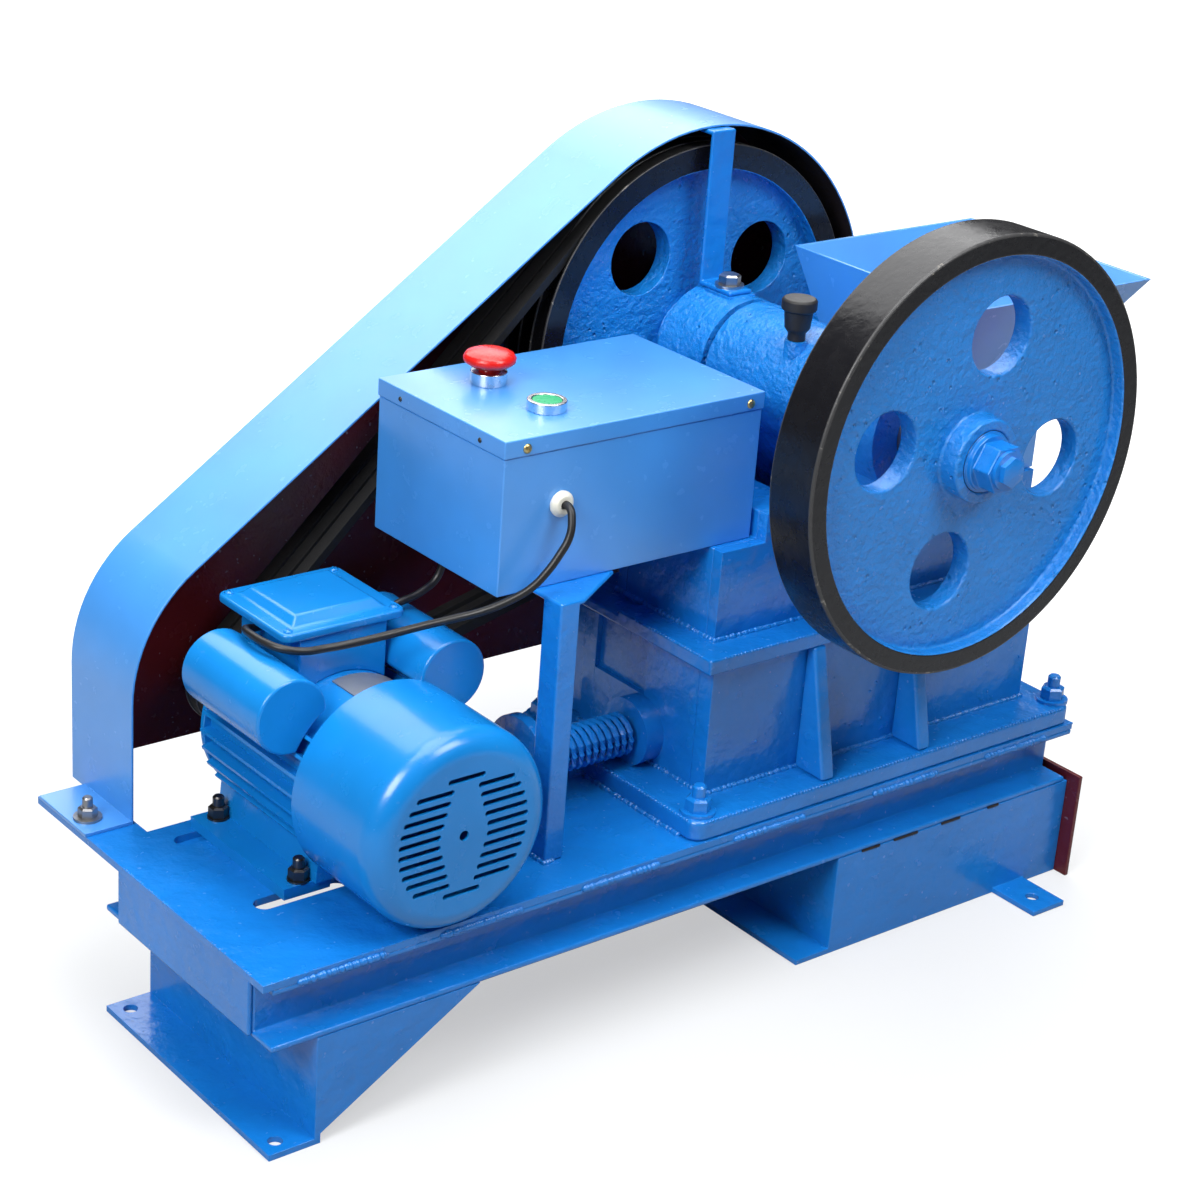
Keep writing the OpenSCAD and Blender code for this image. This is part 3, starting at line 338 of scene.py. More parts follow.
def rubbed(name, colour, under, amount, scale, rough, metal, depth=0.0003):
    """A finish that is rubbed through in places to what lies under it."""
    made, tree, shader = material(name)
    scuffs = place_group(tree, GROUPS["scuffs"], Amount=amount, Scale=scale)
    tree.links.new(mix_colour(tree, scuffs.outputs["Mask"], colour, under), shader.inputs["Base Color"])
    place = tree.nodes.new("ShaderNodeTexCoord").outputs["Object"]
    uneven = maths(tree, "MULTIPLY", noise(tree, place, 70, 4), 0.25)
    dull = maths(tree, "MULTIPLY", scuffs.outputs["Mask"], 0.3)
    spread = maths(tree, "ADD", uneven, dull)
    tree.links.new(maths(tree, "ADD", spread, rough - 0.12), shader.inputs["Roughness"])
    shader.inputs["Metallic"].default_value = metal
    bump(tree, shader, noise(tree, place, 160, 4), depth)
    FINISH[name] = made


class CRUSHER_OT_finishes(bpy.types.Operator):
    """Makes the shader groups and the finishes"""
    bl_idname = "crusher.finishes"
    bl_label = "Make finishes"

    def execute(self, context):
        GROUPS["film"] = make_paint_film()
        GROUPS["cast"] = make_cast_skin()
        GROUPS["scuffs"] = make_scuffs()
        blue = tuple(paint().blue)
        painted("blue_sheet", tuple(paint().sheet), 0.10, 0.10, 0.02, 0.0005, 1.0, satin=0.5, coat=1.9)
        painted("blue_plate", blue, 0.10, 1.4, 0.10, 0.0014, 0.5)
        # Painted light: the casting paint is a lighter blue than the enamel, to brighten the wheel web
        painted("blue_cast_painted_lighter", tuple(paint().cast), 0.10, 0.6, 0.08, 0.0034, 0.5, 1.1)
        painted("blue_motor", tuple(paint().motor), 0.03, 0.12, 0.04, 0.0006, 0.2)
        painted("red_primer", tuple(paint().primer), 0.3, 0.4, 0.2, 0.0008, 0.0)
        grey = (0.06, 0.06, 0.063, 1)
        rubbed("black_rim", tuple(paint().black), grey, 0.45, 75, 0.27, 0.0)
        rubbed("rim_edge", (0.05, 0.05, 0.052, 1), (0.30, 0.28, 0.25, 1), 0.75, 90, 0.4, 0.2)
        # Painted shade: near black with dark red primer showing through in patches, for the guard band's
        # shaded inner faces and the gaps between the stitches
        rubbed("painted_shade_dark", (0.012, 0.008, 0.010, 1), (0.06, 0.012, 0.014, 1), 0.6, 12, 0.55, 0.0)
        rubbed("jaw_steel", (0.16, 0.155, 0.15, 1), (0.30, 0.27, 0.24, 1), 0.7, 40, 0.55, 0.7, 0.0006)
        rubbed("bare_steel", (0.32, 0.32, 0.33, 1), (0.18, 0.15, 0.13, 1), 0.4, 50, 0.38, 0.95)
        rubbed("black_steel", (0.085, 0.083, 0.082, 1), (0.20, 0.18, 0.16, 1), 0.5, 90, 0.32, 0.9)
        rubbed("zinc", (0.55, 0.55, 0.53, 1), (0.33, 0.32, 0.28, 1), 0.4, 80, 0.30, 1.0)
        rubbed("brass_screw", (0.62, 0.47, 0.20, 1), (0.35, 0.25, 0.10, 1), 0.4, 120, 0.30, 1.0)
        rubbed("bezel_metal", (0.72, 0.73, 0.75, 1), (0.5, 0.5, 0.52, 1), 0.2, 150, 0.24, 1.0, 0.00005)
        rubbed("belt_rubber", (0.010, 0.010, 0.011, 1), (0.05, 0.05, 0.05, 1), 0.35, 60, 0.7, 0.0)
        rubbed("lead_rubber", (0.010, 0.010, 0.011, 1), (0.04, 0.04, 0.042, 1), 0.25, 60, 0.42, 0.0, 0.00005)
        rubbed("red_plastic", tuple(paint().red), (0.5, 0.02, 0.02, 1), 0.2, 60, 0.26, 0.0, 0.00003)
        rubbed("green_plastic", tuple(paint().green), (0.03, 0.3, 0.14, 1), 0.2, 60, 0.25, 0.0, 0.00003)
        rubbed("white_plastic", (0.74, 0.73, 0.64, 1), (0.6, 0.58, 0.5, 1), 0.2, 60, 0.4, 0.0, 0.00005)
        rubbed("black_plastic", (0.012, 0.012, 0.013, 1), (0.04, 0.04, 0.04, 1), 0.25, 60, 0.55, 0.0, 0.0001)
        rubbed("plate_metal", (0.34, 0.35, 0.36, 1), (0.07, 0.07, 0.075, 1), 0.6, 260, 0.35, 0.7, 0.00006)
        return {"FINISHED"}


# Meshes

def add_piece(name, mesh, finishes):
    """A new object at the origin with its finishes."""
    piece = bpy.data.objects.new(name, mesh)
    bpy.context.scene.collection.objects.link(piece)
    mesh.materials.clear()
    for finish in finishes:
        mesh.materials.append(FINISH[finish])
    return piece


def settle(piece):
    """Turns a piece with modifiers into a plain mesh and removes the modifiers."""
    graph = bpy.context.evaluated_depsgraph_get()
    result = bpy.data.meshes.new_from_object(piece.evaluated_get(graph), depsgraph=graph)
    piece.modifiers.clear()
    old = piece.data
    piece.data = result
    bpy.data.meshes.remove(old)


def shade(piece, angle=35):
    """Smooth faces, with sharp edges over an angle in degrees."""
    piece.data.shade_smooth()
    piece.data.set_sharp_from_angle(angle=math.radians(angle))


def dress(node, finishes, edge=None, pick=None, segments=2, angle=35):
    """A finished skin for a node: merged, with rounded edges, its faces given finishes by pick."""
    source = frame["nodes"][node]
    mesh = source.data.copy()
    width = detail().edge if edge is None else edge
    if width:
        skin = bmesh.new()
        skin.from_mesh(mesh)
        bmesh.ops.remove_doubles(skin, verts=skin.verts, dist=0.00002)
        bmesh.ops.dissolve_limit(skin, angle_limit=math.radians(0.4), verts=skin.verts, edges=skin.edges)
        skin.to_mesh(mesh)
        skin.free()
    piece = add_piece(node + ".skin", mesh, finishes)
    if width:
        bevel = piece.modifiers.new("edges", "BEVEL")
        bevel.width = width
        bevel.segments = segments
        bevel.limit_method = "ANGLE"
        bevel.angle_limit = math.radians(40)
        bevel.use_clamp_overlap = True
        settle(piece)
    if pick:
        points = piece.data.vertices
        for face in piece.data.polygons:
            face.material_index = pick(points[face.vertices[0]].co, face.center, face.normal)
    shade(piece, angle)
    if width:
        evened = piece.modifiers.new("normals", "WEIGHTED_NORMAL")
        evened.mode = "FACE_AREA"
        evened.keep_sharp = True
        settle(piece)
    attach(piece, source["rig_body"])
    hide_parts(node)


# Geometry Nodes for what repeats

def new_tree(name, inputs):
    """A Geometry Nodes tree with a geometry input and named inputs."""
    tree = bpy.data.node_groups.new(name, "GeometryNodeTree")
    tree.interface.new_socket("Geometry", in_out="INPUT", socket_type="NodeSocketGeometry")
    sockets = {}
    for label, kind in inputs:
        sockets[label] = tree.interface.new_socket(label, in_out="INPUT", socket_type=kind).identifier
    tree.interface.new_socket("Geometry", in_out="OUTPUT", socket_type="NodeSocketGeometry")
    entry = tree.nodes.new("NodeGroupInput")
    leave = tree.nodes.new("NodeGroupOutput")
    return tree, entry, leave, sockets


def end_tree(tree, entry, leave, geometry):
    """Realizes the instances, sets the material and ends the tree."""
    real = tree.nodes.new("GeometryNodeRealizeInstances")
    look = tree.nodes.new("GeometryNodeSetMaterial")
    tree.links.new(geometry, real.inputs[0])
    tree.links.new(real.outputs[0], look.inputs["Geometry"])
    tree.links.new(entry.outputs["Material"], look.inputs["Material"])
    tree.links.new(look.outputs[0], leave.inputs[0])


def fastener_tree():
    """Puts one fastener on each point, turned to the point's axis."""
    tree, entry, leave, sockets = new_tree(
        "Fasteners", [("Fastener", "NodeSocketObject"), ("Material", "NodeSocketMaterial")])
    info = tree.nodes.new("GeometryNodeObjectInfo")
    tree.links.new(entry.outputs["Fastener"], info.inputs["Object"])
    axis = tree.nodes.new("GeometryNodeInputNamedAttribute")
    axis.data_type = "FLOAT_VECTOR"
    axis.inputs["Name"].default_value = "axis"
    turn = tree.nodes.new("FunctionNodeAlignRotationToVector")
    turn.axis = "Z"
    tree.links.new(axis.outputs["Attribute"], turn.inputs["Vector"])
    put = tree.nodes.new("GeometryNodeInstanceOnPoints")
    tree.links.new(entry.outputs["Geometry"], put.inputs["Points"])
    tree.links.new(info.outputs["Geometry"], put.inputs["Instance"])
    tree.links.new(turn.outputs["Rotation"], put.inputs["Rotation"])
    end_tree(tree, entry, leave, put.outputs["Instances"])
    return tree, sockets


def weld_tree():
    """Lays overlapping ripples along edges, uneven in size."""
    tree, entry, leave, sockets = new_tree(
        "Weld beads", [("Width", "NodeSocketFloat"), ("Pitch", "NodeSocketFloat"),
                       ("Material", "NodeSocketMaterial")])
    lines = tree.nodes.new("GeometryNodeMeshToCurve")
    tree.links.new(entry.outputs["Geometry"], lines.inputs["Mesh"])
    points = tree.nodes.new("GeometryNodeCurveToPoints")
    points.mode = "LENGTH"
    tree.links.new(lines.outputs["Curve"], points.inputs["Curve"])
    tree.links.new(entry.outputs["Pitch"], points.inputs["Length"])
    lump = tree.nodes.new("GeometryNodeMeshUVSphere")
    lump.inputs["Segments"].default_value = 8
    lump.inputs["Rings"].default_value = 5
    radius = tree.nodes.new("ShaderNodeMath")
    radius.operation = "MULTIPLY"
    radius.inputs[1].default_value = 0.5
    tree.links.new(entry.outputs["Width"], radius.inputs[0])
    tree.links.new(radius.outputs[0], lump.inputs["Radius"])
    size = tree.nodes.new("FunctionNodeRandomValue")
    size.inputs[2].default_value = 0.72
    size.inputs[3].default_value = 1.12
    size.inputs["Seed"].default_value = 11
    put = tree.nodes.new("GeometryNodeInstanceOnPoints")
    tree.links.new(points.outputs["Points"], put.inputs["Points"])
    tree.links.new(lump.outputs["Mesh"], put.inputs["Instance"])
    tree.links.new(size.outputs[1], put.inputs["Scale"])
    end_tree(tree, entry, leave, put.outputs["Instances"])
    return tree, sockets


def spatter_tree():
    """Scatters small drops of weld spatter over faces."""
    tree, entry, leave, sockets = new_tree(
        "Weld spatter", [("Density", "NodeSocketFloat"), ("Drop", "NodeSocketFloat"),
                         ("Material", "NodeSocketMaterial")])
    spread = tree.nodes.new("GeometryNodeDistributePointsOnFaces")
    spread.inputs["Seed"].default_value = 5
    tree.links.new(entry.outputs["Geometry"], spread.inputs["Mesh"])
    tree.links.new(entry.outputs["Density"], spread.inputs["Density"])
    drop = tree.nodes.new("GeometryNodeMeshIcoSphere")
    drop.inputs["Subdivisions"].default_value = 2
    tree.links.new(entry.outputs["Drop"], drop.inputs["Radius"])
    size = tree.nodes.new("FunctionNodeRandomValue")
    size.inputs[2].default_value = 0.4
    size.inputs[3].default_value = 1.2
    size.inputs["Seed"].default_value = 7
    put = tree.nodes.new("GeometryNodeInstanceOnPoints")
    tree.links.new(spread.outputs["Points"], put.inputs["Points"])
    tree.links.new(drop.outputs["Mesh"], put.inputs["Instance"])
    tree.links.new(size.outputs[1], put.inputs["Scale"])
    end_tree(tree, entry, leave, put.outputs["Instances"])
    return tree, sockets


TREES = {}


def grow(name, mesh, tree_name, values, finish, body, angle=35):
    """Runs a tree on a mesh of points or edges and keeps the result as a plain mesh."""
    tree, sockets = TREES[tree_name]
    piece = add_piece(name, mesh, [finish])
    modifier = piece.modifiers.new("grow", "NODES")
    modifier.node_group = tree
    for label, value in values.items():
        modifier[sockets[label]] = value
    modifier[sockets["Material"]] = FINISH[finish]
    settle(piece)
    shade(piece, angle)
    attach(piece, body)


def fastener_shape(name, flats, height, stud, stud_out, washer):
    """A hex head or nut with a chamfered top on a washer, with the stud's end standing out."""
    shape = bmesh.new()

    def turned(radius_low, radius_high, low, high, sides):
        made = bmesh.ops.create_cone(shape, cap_ends=True, segments=sides, radius1=radius_low,
                                     radius2=radius_high, depth=high - low)
        bmesh.ops.translate(shape, verts=made["verts"], vec=(0, 0, (low + high) / 2))

    across = flats / math.cos(math.pi / 6) / 2
    thick = washer * 0.09
    turned(washer / 2, washer / 2, -0.0005, thick, 28)
    turned(across, across, thick, height * 0.84 + thick, 6)
    turned(across, flats * 0.46, height * 0.84 + thick, height + thick, 6)
    if stud_out:
        turned(stud / 2, stud / 2, height, height + thick + stud_out * 0.85, 18)
        turned(stud / 2, stud * 0.38, height + thick + stud_out * 0.85, height + thick + stud_out, 18)
    mesh = bpy.data.meshes.new(name)
    shape.to_mesh(mesh)
    shape.free()
    return bpy.data.objects.new(name, mesh)


def screw_shape(name, head):
    """A pan head screw with a cross of two thin bars on its dome."""
    shape = bmesh.new()
    dome = bmesh.ops.create_uvsphere(shape, u_segments=24, v_segments=12, radius=head / 2)
    bmesh.ops.scale(shape, verts=dome["verts"], vec=(1, 1, 0.55))
    for turn in (0, math.pi / 2):
        bar = bmesh.ops.create_cube(shape, size=1)
        bmesh.ops.scale(shape, verts=bar["verts"], vec=(head * 0.56, head * 0.13, head * 0.05))
        bmesh.ops.rotate(shape, verts=bar["verts"], matrix=Matrix.Rotation(turn, 3, "Z"))
        bmesh.ops.translate(shape, verts=bar["verts"], vec=(0, 0, head * 0.262))
    mesh = bpy.data.meshes.new(name)
    shape.to_mesh(mesh)
    shape.free()
    return bpy.data.objects.new(name, mesh)


def fasteners(name, shape, spots, finish, body="machine"):
    """One fastener at each (point, axis) pair."""
    mesh = bpy.data.meshes.new(name)
    mesh.from_pydata([spot for spot, axis in spots], [], [])
    axes = mesh.attributes.new("axis", "FLOAT_VECTOR", "POINT")
    axes.data.foreach_set("vector", [c for spot, axis in spots for c in axis])
    bpy.context.scene.collection.objects.link(shape)
    grow(name, mesh, "fasteners", {"Fastener": shape}, finish, body)
    bpy.data.objects.remove(shape)


UP = Vector((0, 0, 1))
NEAR = Vector((0, -1, 0))
LEFT = Vector((-1, 0, 0))


class CRUSHER_OT_fasteners(bpy.types.Operator):
    """Puts in the bolts, nuts and screws"""
    bl_idname = "crusher.fasteners"
    bl_label = "Fit fasteners"

    def execute(self, context):
        TREES["fasteners"] = fastener_tree()
        foot_thick = 9
        motor_bolts = [(at(x, y, DECK_Z + foot_thick), UP) for x in (83.5, 208.5) for y in (100, 212)]
        shape = fastener_shape("motor_bolt", 0.0135, 0.009, 0.009, 0.008, 0.017)
        fasteners("motor_bolts", shape, motor_bolts, "black_steel")

        sheet_top = DECK_Z + 3
        guard_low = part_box("guard_band")[0]
        spot = Vector((guard_low.x + 0.014, guard_low.y + 0.022, sheet_top / 1000))
        shape = fastener_shape("foot_bolt", 0.013, 0.008, 0.008, 0.008, 0.022)
        fasteners("guard_foot_bolt", shape, [(spot, UP)], "bare_steel")

        flange_bolts = [(at(x, y, FLANGE_Z), UP) for x in (395, 797) for y in (18, 216)]
        shape = fastener_shape("flange_bolt", 0.018, 0.011, 0.011, 0.010, 0.028)
        fasteners("flange_bolts", shape, flange_bolts, "blue_plate")

        strap_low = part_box("guard_strap")[0]
        strap_thick = 0.004
        spot = Vector((SHAFT.x, strap_low.y + 0.015, strap_low.z + strap_thick))
        shape = fastener_shape("strap_bolt", 0.016, 0.008, 0.010, 0, 0.024)
        fasteners("strap_bolt", shape, [(spot, UP)], "zinc")

        nut_and_washer = 0.020
        end_washer = 0.0028
        cover = 0.0008
        nut_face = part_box("near_flywheel")[0].y - nut_and_washer
        end_out = nut_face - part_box("shaft")[0].y + cover
        spot = Vector((SHAFT.x, nut_face, SHAFT.z))
        shape = fastener_shape("shaft_end", 0.0208, end_out - end_washer, 0, 0, 0.031)
        fasteners("shaft_end", shape, [(spot, NEAR)], "blue_plate", "rotor")

        lid_low, lid_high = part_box("control_lid")
        level = lid_low.z + 0.006
        from_end = 0.03
        sides = [(Vector((x, lid_low.y, level)), NEAR) for x in (lid_low.x + 0.02, lid_high.x - 0.014)]
        fasteners("lid_screws", screw_shape("lid_screw", 0.0075), sides, "brass_screw")
        ends = [(Vector((lid_low.x, y, level)), LEFT) for y in (lid_low.y + from_end, lid_high.y - from_end)]
        fasteners("end_screws", screw_shape("end_screw", 0.004), ends, "black_steel")

        cover_low, cover_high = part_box("terminal_lid")
        inset = 0.007
        corners = [(Vector((x, y, cover_low.z + inset)), UP)
                   for x in (cover_low.x + inset, cover_high.x - inset)
                   for y in (cover_low.y + inset, cover_high.y - inset)]
        fasteners("cover_screws", screw_shape("cover_screw", 0.007), corners, "blue_motor")
        return {"FINISHED"}


def lay_beads(name, lines, width, pitch):
    """Lays beads along lists of points."""
    edges = []
    first = 0
    for line in lines:
        edges += [(first + i, first + i + 1) for i in range(len(line) - 1)]
        first += len(line)
    mesh = bpy.data.meshes.new(name)
    mesh.from_pydata([point for line in lines for point in line], edges, [])
    grow(name, mesh, "welds", {"Width": width, "Pitch": pitch}, "blue_plate", "machine", 60)


def weld_seams():
    """The seams that carry a weld bead, as lists of points."""
    body_low, body_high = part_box("lower_side_walls")
    upper_low, upper_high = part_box("upper_side_walls")
    deck_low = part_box("deck_plate")[0]
    flange_low, flange_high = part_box("crusher_flange")
    post_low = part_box("post")[0]
    deck = DECK_Z / 1000
    seams = []
    for low, high in ((body_low, body_high), (upper_low, upper_high)):
        seams.append([(low.x, high.y, low.z), (low.x, low.y, low.z), (high.x, low.y, low.z)])
        seams.append([(low.x, high.y, low.z), (high.x, high.y, low.z)])
    for side in (body_low.y, body_high.y):
        seams.append([(body_low.x, side, body_high.z), (body_high.x, side, body_high.z)])
    stitch = 0.07
    for start in (0.03, 0.15, 0.28, 0.43, 0.58, 0.71):
        x = deck_low.x + start
        seams.append([(x, CORNER.y, deck_low.z), (x + stitch, CORNER.y, deck_low.z)])
    short = 0.02
    seams.append([(flange_low.x, flange_low.y + short, flange_low.z),
                  (flange_low.x, flange_high.y - short, flange_low.z)])
    seams.append([(post_low.x, post_low.y, deck), (post_low.x + 0.008, post_low.y, deck)])
    seams.append([(post_low.x, post_low.y, deck), (post_low.x, post_low.y + 0.04, deck)])
    return seams


def cut_edges():
    """The torch-cut edges of the deck, the collar and the flange, as lists of points."""
    sunk = 0.0012
    corner = 0.012
    deck_low, deck_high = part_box("deck_plate")
    near = CORNER.y + sunk
    level = DECK_Z / 1000 - sunk
    edges = [[(deck_low.x + sunk, CORNER.y + 0.2, level), (deck_low.x + sunk, near, level),
              (deck_high.x, near, level)]]
    for node in ("collar", "crusher_flange"):
        low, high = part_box(node)
        level = high.z - sunk
        edges.append([(low.x + sunk, high.y - 0.08, level), (low.x + sunk, low.y + corner, level)])
        edges.append([(low.x + corner, low.y + sunk, level), (high.x - corner, low.y + sunk, level)])
    return edges


def seam_gaps():
    """Thin dark boxes of painted shade in the gaps between the stitches over the leg box."""
    low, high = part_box("leg_box")
    shape = bmesh.new()
    for start, length in ((0.072, 0.020), (0.112, 0.027), (0.165, 0.022), (0.216, 0.013)):
        gap = bmesh.ops.create_cube(shape, size=1)
        bmesh.ops.scale(shape, verts=gap["verts"], vec=(length, 0.0016, 0.0020))
        bmesh.ops.translate(shape, verts=gap["verts"], vec=(low.x + start, CORNER.y, high.z))
    mesh = bpy.data.meshes.new("seam_gaps")
    shape.to_mesh(mesh)
    shape.free()
    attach(add_piece("seam_gaps", mesh, ["painted_shade_dark"]), "machine")


def spatter():
    """Weld spatter on the near lower wall and on the flange in front of it."""
    per_square_metre = 900.0
    drop = 0.0012
    margin = 0.006
    low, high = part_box("lower_side_walls")
    flange_low, flange_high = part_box("crusher_flange")
    edge = flange_low.y + margin
    top = flange_high.z
    wall = [(low.x, low.y, low.z), (high.x, low.y, low.z), (high.x, low.y, high.z), (low.x, low.y, high.z)]
    ledge = [(low.x, edge, top), (high.x, edge, top), (high.x, low.y, top), (low.x, low.y, top)]
    mesh = bpy.data.meshes.new("weld_spatter")
    mesh.from_pydata(wall + ledge, [], [(0, 1, 2, 3), (4, 5, 6, 7)])
    values = {"Density": per_square_metre, "Drop": drop}
    grow("weld_spatter", mesh, "spatter", values, "blue_plate", "machine", 60)


class CRUSHER_OT_welds(bpy.types.Operator):
    """Lays the weld beads along the seams and their spatter, puts painted shade in the gaps between the
    stitches, and roughens the cut edges
    """
    bl_idname = "crusher.welds"
    bl_label = "Lay welds"

    def execute(self, context):
        TREES["welds"] = weld_tree()
        TREES["spatter"] = spatter_tree()
        spatter()
        bead = detail().bead
        pitch = detail().lump_pitch
        seam_gaps()
        lay_beads("weld_beads", weld_seams(), bead, pitch)
        lay_beads("rough_edges", cut_edges(), bead * 0.5, pitch * 1.6)
        return {"FINISHED"}


class CRUSHER_OT_frame(bpy.types.Operator):
    """Paints the base and the crusher's frame"""
    bl_idname = "crusher.frame"
    bl_label = "Paint frame"

    def execute(self, context):
        for node in ("near_channel", "far_channel", "deck_plate", "channel_end_plate", "left_leg", "leg_box",
                     "front_wall", "upper_rear_wall", "guard_strap"):
            dress(node, ["blue_plate"])
        dress("side_ribs", ["blue_plate"], 0.003, segments=3)
        dress("post", ["blue_plate"], 0.003, segments=3)
        for node in ("crusher_flange", "collar"):
            dress(node, ["blue_plate"], 0.0035, segments=4)
        for node in ("lower_rear_wall", "lower_side_walls", "upper_side_walls"):
            dress(node, ["blue_plate"], 0.0006)
        for node in ("bearing_housings", "swing_jaw"):
            dress(node, ["blue_cast_painted_lighter"], 0.0025, segments=3)
        dress("end_panel", ["red_primer"], 0.0006)
        for node in ("fixed_jaw_plate", "swing_jaw_plate", "cheek_plates"):
            dress(node, ["jaw_steel"], 0.0008)
        dress("toggle_plate", ["bare_steel"], 0.001)
        dress("tension_rod", ["blue_plate"], 0.001)
        dress("spring", ["blue_plate"], 0, angle=70)
        return {"FINISHED"}


class CRUSHER_OT_wheels(bpy.types.Operator):
    """Paints the wheels, with black rims and blue webs"""
    bl_idname = "crusher.wheels"
    bl_label = "Paint wheels"

    def execute(self, context):
        low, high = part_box("near_flywheel")
        outer = (high.x - low.x) / 2
        rim_depth = 0.0165
        worn_band = 0.003
        nut_depth = 0.012

        def rim_or_web(outer, depth):
            def pick(point, centre, normal):
                across = math.hypot(point.x - SHAFT.x, point.z - SHAFT.z)
                if across < outer - depth:
                    return 1
                worn = across > outer - worn_band and 0.25 < abs(normal.y) < 0.97
                return 2 if worn else 0
            return pick

        faces = ["black_rim", "blue_cast_painted_lighter", "rim_edge"]
        dress("near_flywheel", faces, 0.0022, rim_or_web(outer, rim_depth), 3)
        far_low, far_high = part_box("pulley_wheel")
        far_outer = (far_high.x - far_low.x) / 2
        far_depth = 0.014
        dress("pulley_wheel", faces, 0.0012, rim_or_web(far_outer, far_depth))
        dress("motor_pulley", ["black_steel"], 0.0008)
        dress("drive_belts", ["belt_rubber"], 0)

        def nut_or_shaft(point, centre, normal):
            return 0 if centre.y < low.y + nut_depth else 1

        dress("shaft", ["blue_plate", "bare_steel"], 0.0014, nut_or_shaft, 3)
        return {"FINISHED"}


class CRUSHER_OT_guard(bpy.types.Operator):
    """Paints the guard: blue outside, primed inside, with painted shade on the band's inner faces"""
    bl_idname = "crusher.guard"
    bl_label = "Paint guard"

    def execute(self, context):
        motor = Vector(JOINTS["motor_spin"]["pos_m"])
        foot_top = DECK_Z / 1000 + 0.004

        # The band's inner faces above the foot get the painted shade
        def inside(point, centre, normal):
            along = max(0.0, min(1.0, (centre.x - motor.x) / (SHAFT.x - motor.x)))
            heart = motor.lerp(SHAFT, along)
            inward = (heart.x - centre.x) * normal.x + (heart.z - centre.z) * normal.z
            return 1 if inward > 0.01 and centre.z > foot_top else 0

        dress("guard_band", ["blue_sheet", "painted_shade_dark"], 0.0005, inside)
        dress("guard_back", ["red_primer", "blue_sheet"], 0, lambda p, c, n: 1 if n.y > 0.5 else 0, angle=1)
        dress("hopper", ["blue_sheet"], 0.0006)
        return {"FINISHED"}


def nameplate(turn):
    """A thin bare plate bent round the motor's top, between the cowl and the terminal box."""
    axis = Vector(JOINTS["motor_spin"]["pos_m"])
    inner = 0.0625
    outer = 0.0642
    half = math.radians(27)
    steps = 12
    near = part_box("fan_cowl")[1].y + 0.006
    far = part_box("terminal_box")[0].y - 0.008
    shape = bmesh.new()
    rows = []
    for step in range(steps + 1):
        angle = turn - half + 2 * half * step / steps
        row = []
        for radius, y in ((inner, near), (outer, near), (outer, far), (inner, far)):
            spot = Vector((axis.x + radius * math.cos(angle), y, axis.z + radius * math.sin(angle)))
            row.append(shape.verts.new(spot))
        rows.append(row)
    for low, high in zip(rows, rows[1:]):
        for k in range(4):
            after = (k + 1) % 4
            shape.faces.new((low[k], low[after], high[after], high[k]))
    shape.faces.new(rows[0])
    shape.faces.new(rows[-1])
    bmesh.ops.recalc_face_normals(shape, faces=shape.faces)
    mesh = bpy.data.meshes.new("nameplate")
    shape.to_mesh(mesh)
    shape.free()
    plate = add_piece("nameplate", mesh, ["plate_metal"])
    shade(plate, 30)
    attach(plate, "machine")


class CRUSHER_OT_motor(bpy.types.Operator):
    """Paints the motor and fits its bare nameplate"""
    bl_idname = "crusher.motor"
    bl_label = "Paint motor"

    def execute(self, context):
        dress("motor_body", ["blue_motor"], 0.0007)
        dress("motor_shield", ["blue_motor"], 0.001)
        dress("fan_cowl", ["blue_motor"], 0.0004)
        dress("terminal_box", ["blue_motor"], 0.002, segments=3)
        dress("terminal_lid", ["blue_motor"], 0.002, segments=3)
        dress("capacitor_covers", ["blue_motor"], 0.009, segments=6)
        nameplate(detail().plate_turn)
        return {"FINISHED"}


class CRUSHER_OT_controls(bpy.types.Operator):
    """Paints the control box and its buttons"""
    bl_idname = "crusher.controls"
    bl_label = "Paint controls"

    def execute(self, context):
        dress("control_box", ["blue_sheet"], 0.0012)
        dress("control_lid", ["blue_sheet"], 0.0012)
        dress("button_bezels", ["bezel_metal"], 0.0008, segments=3)
        dress("stop_head", ["red_plastic"], 0.0012, segments=3)
        dress("start_cap", ["green_plastic"], 0.0005)
        dress("grommet", ["white_plastic"], 0.0008, segments=3)
        dress("grease_cup", ["black_plastic", "rim_edge"], 0.0008, lambda p, c, n: 1 if n.z > 0.9 else 0, 3)
        return {"FINISHED"}


# Routes of the leads, in millimetres from the base's corner
CONTROL_ROUTE = [
    (281, 71, 422), (281, 60, 422), (279, 54, 414), (275, 51, 403), (267, 51, 391), (257, 52, 379),
    (246, 54, 369), (233, 60, 360), (217, 70, 351), (200, 84, 343), (184, 99, 335), (166, 113, 327),
    (146, 124, 321), (122, 130, 319), (103, 132, 320), (90, 139, 322), (84, 152, 323), (83, 168, 323),
    (86, 182, 321), (92, 190, 318), (100, 192, 316), (108, 192, 316)]
SUPPLY_ROUTE = [
    (250, 168, 358), (250, 168, 350), (248, 168, 341), (243, 168, 333), (235, 168, 328), (224, 168, 324),
    (212, 168, 322), (202, 168, 319), (193, 168, 317), (184, 168, 317)]


def lay_lead(name, route, node):
    """A lead as one round tube along its route, from a smooth spline through the points."""
    curve = bpy.data.curves.new(name, "CURVE")
    curve.dimensions = "3D"
    curve.bevel_depth = detail().lead / 2
    curve.bevel_resolution = 5
    curve.resolution_u = 8
    curve.use_fill_caps = True
    line = curve.splines.new("BEZIER")
    line.bezier_points.add(len(route) - 1)
    for point, place in zip(line.bezier_points, route):
        point.co = at(*place)
        point.handle_left_type = "AUTO"
        point.handle_right_type = "AUTO"
    lead = bpy.data.objects.new(name, curve)
    bpy.context.scene.collection.objects.link(lead)
    curve.materials.append(FINISH["lead_rubber"])
    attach(lead, "machine")
    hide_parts(node)


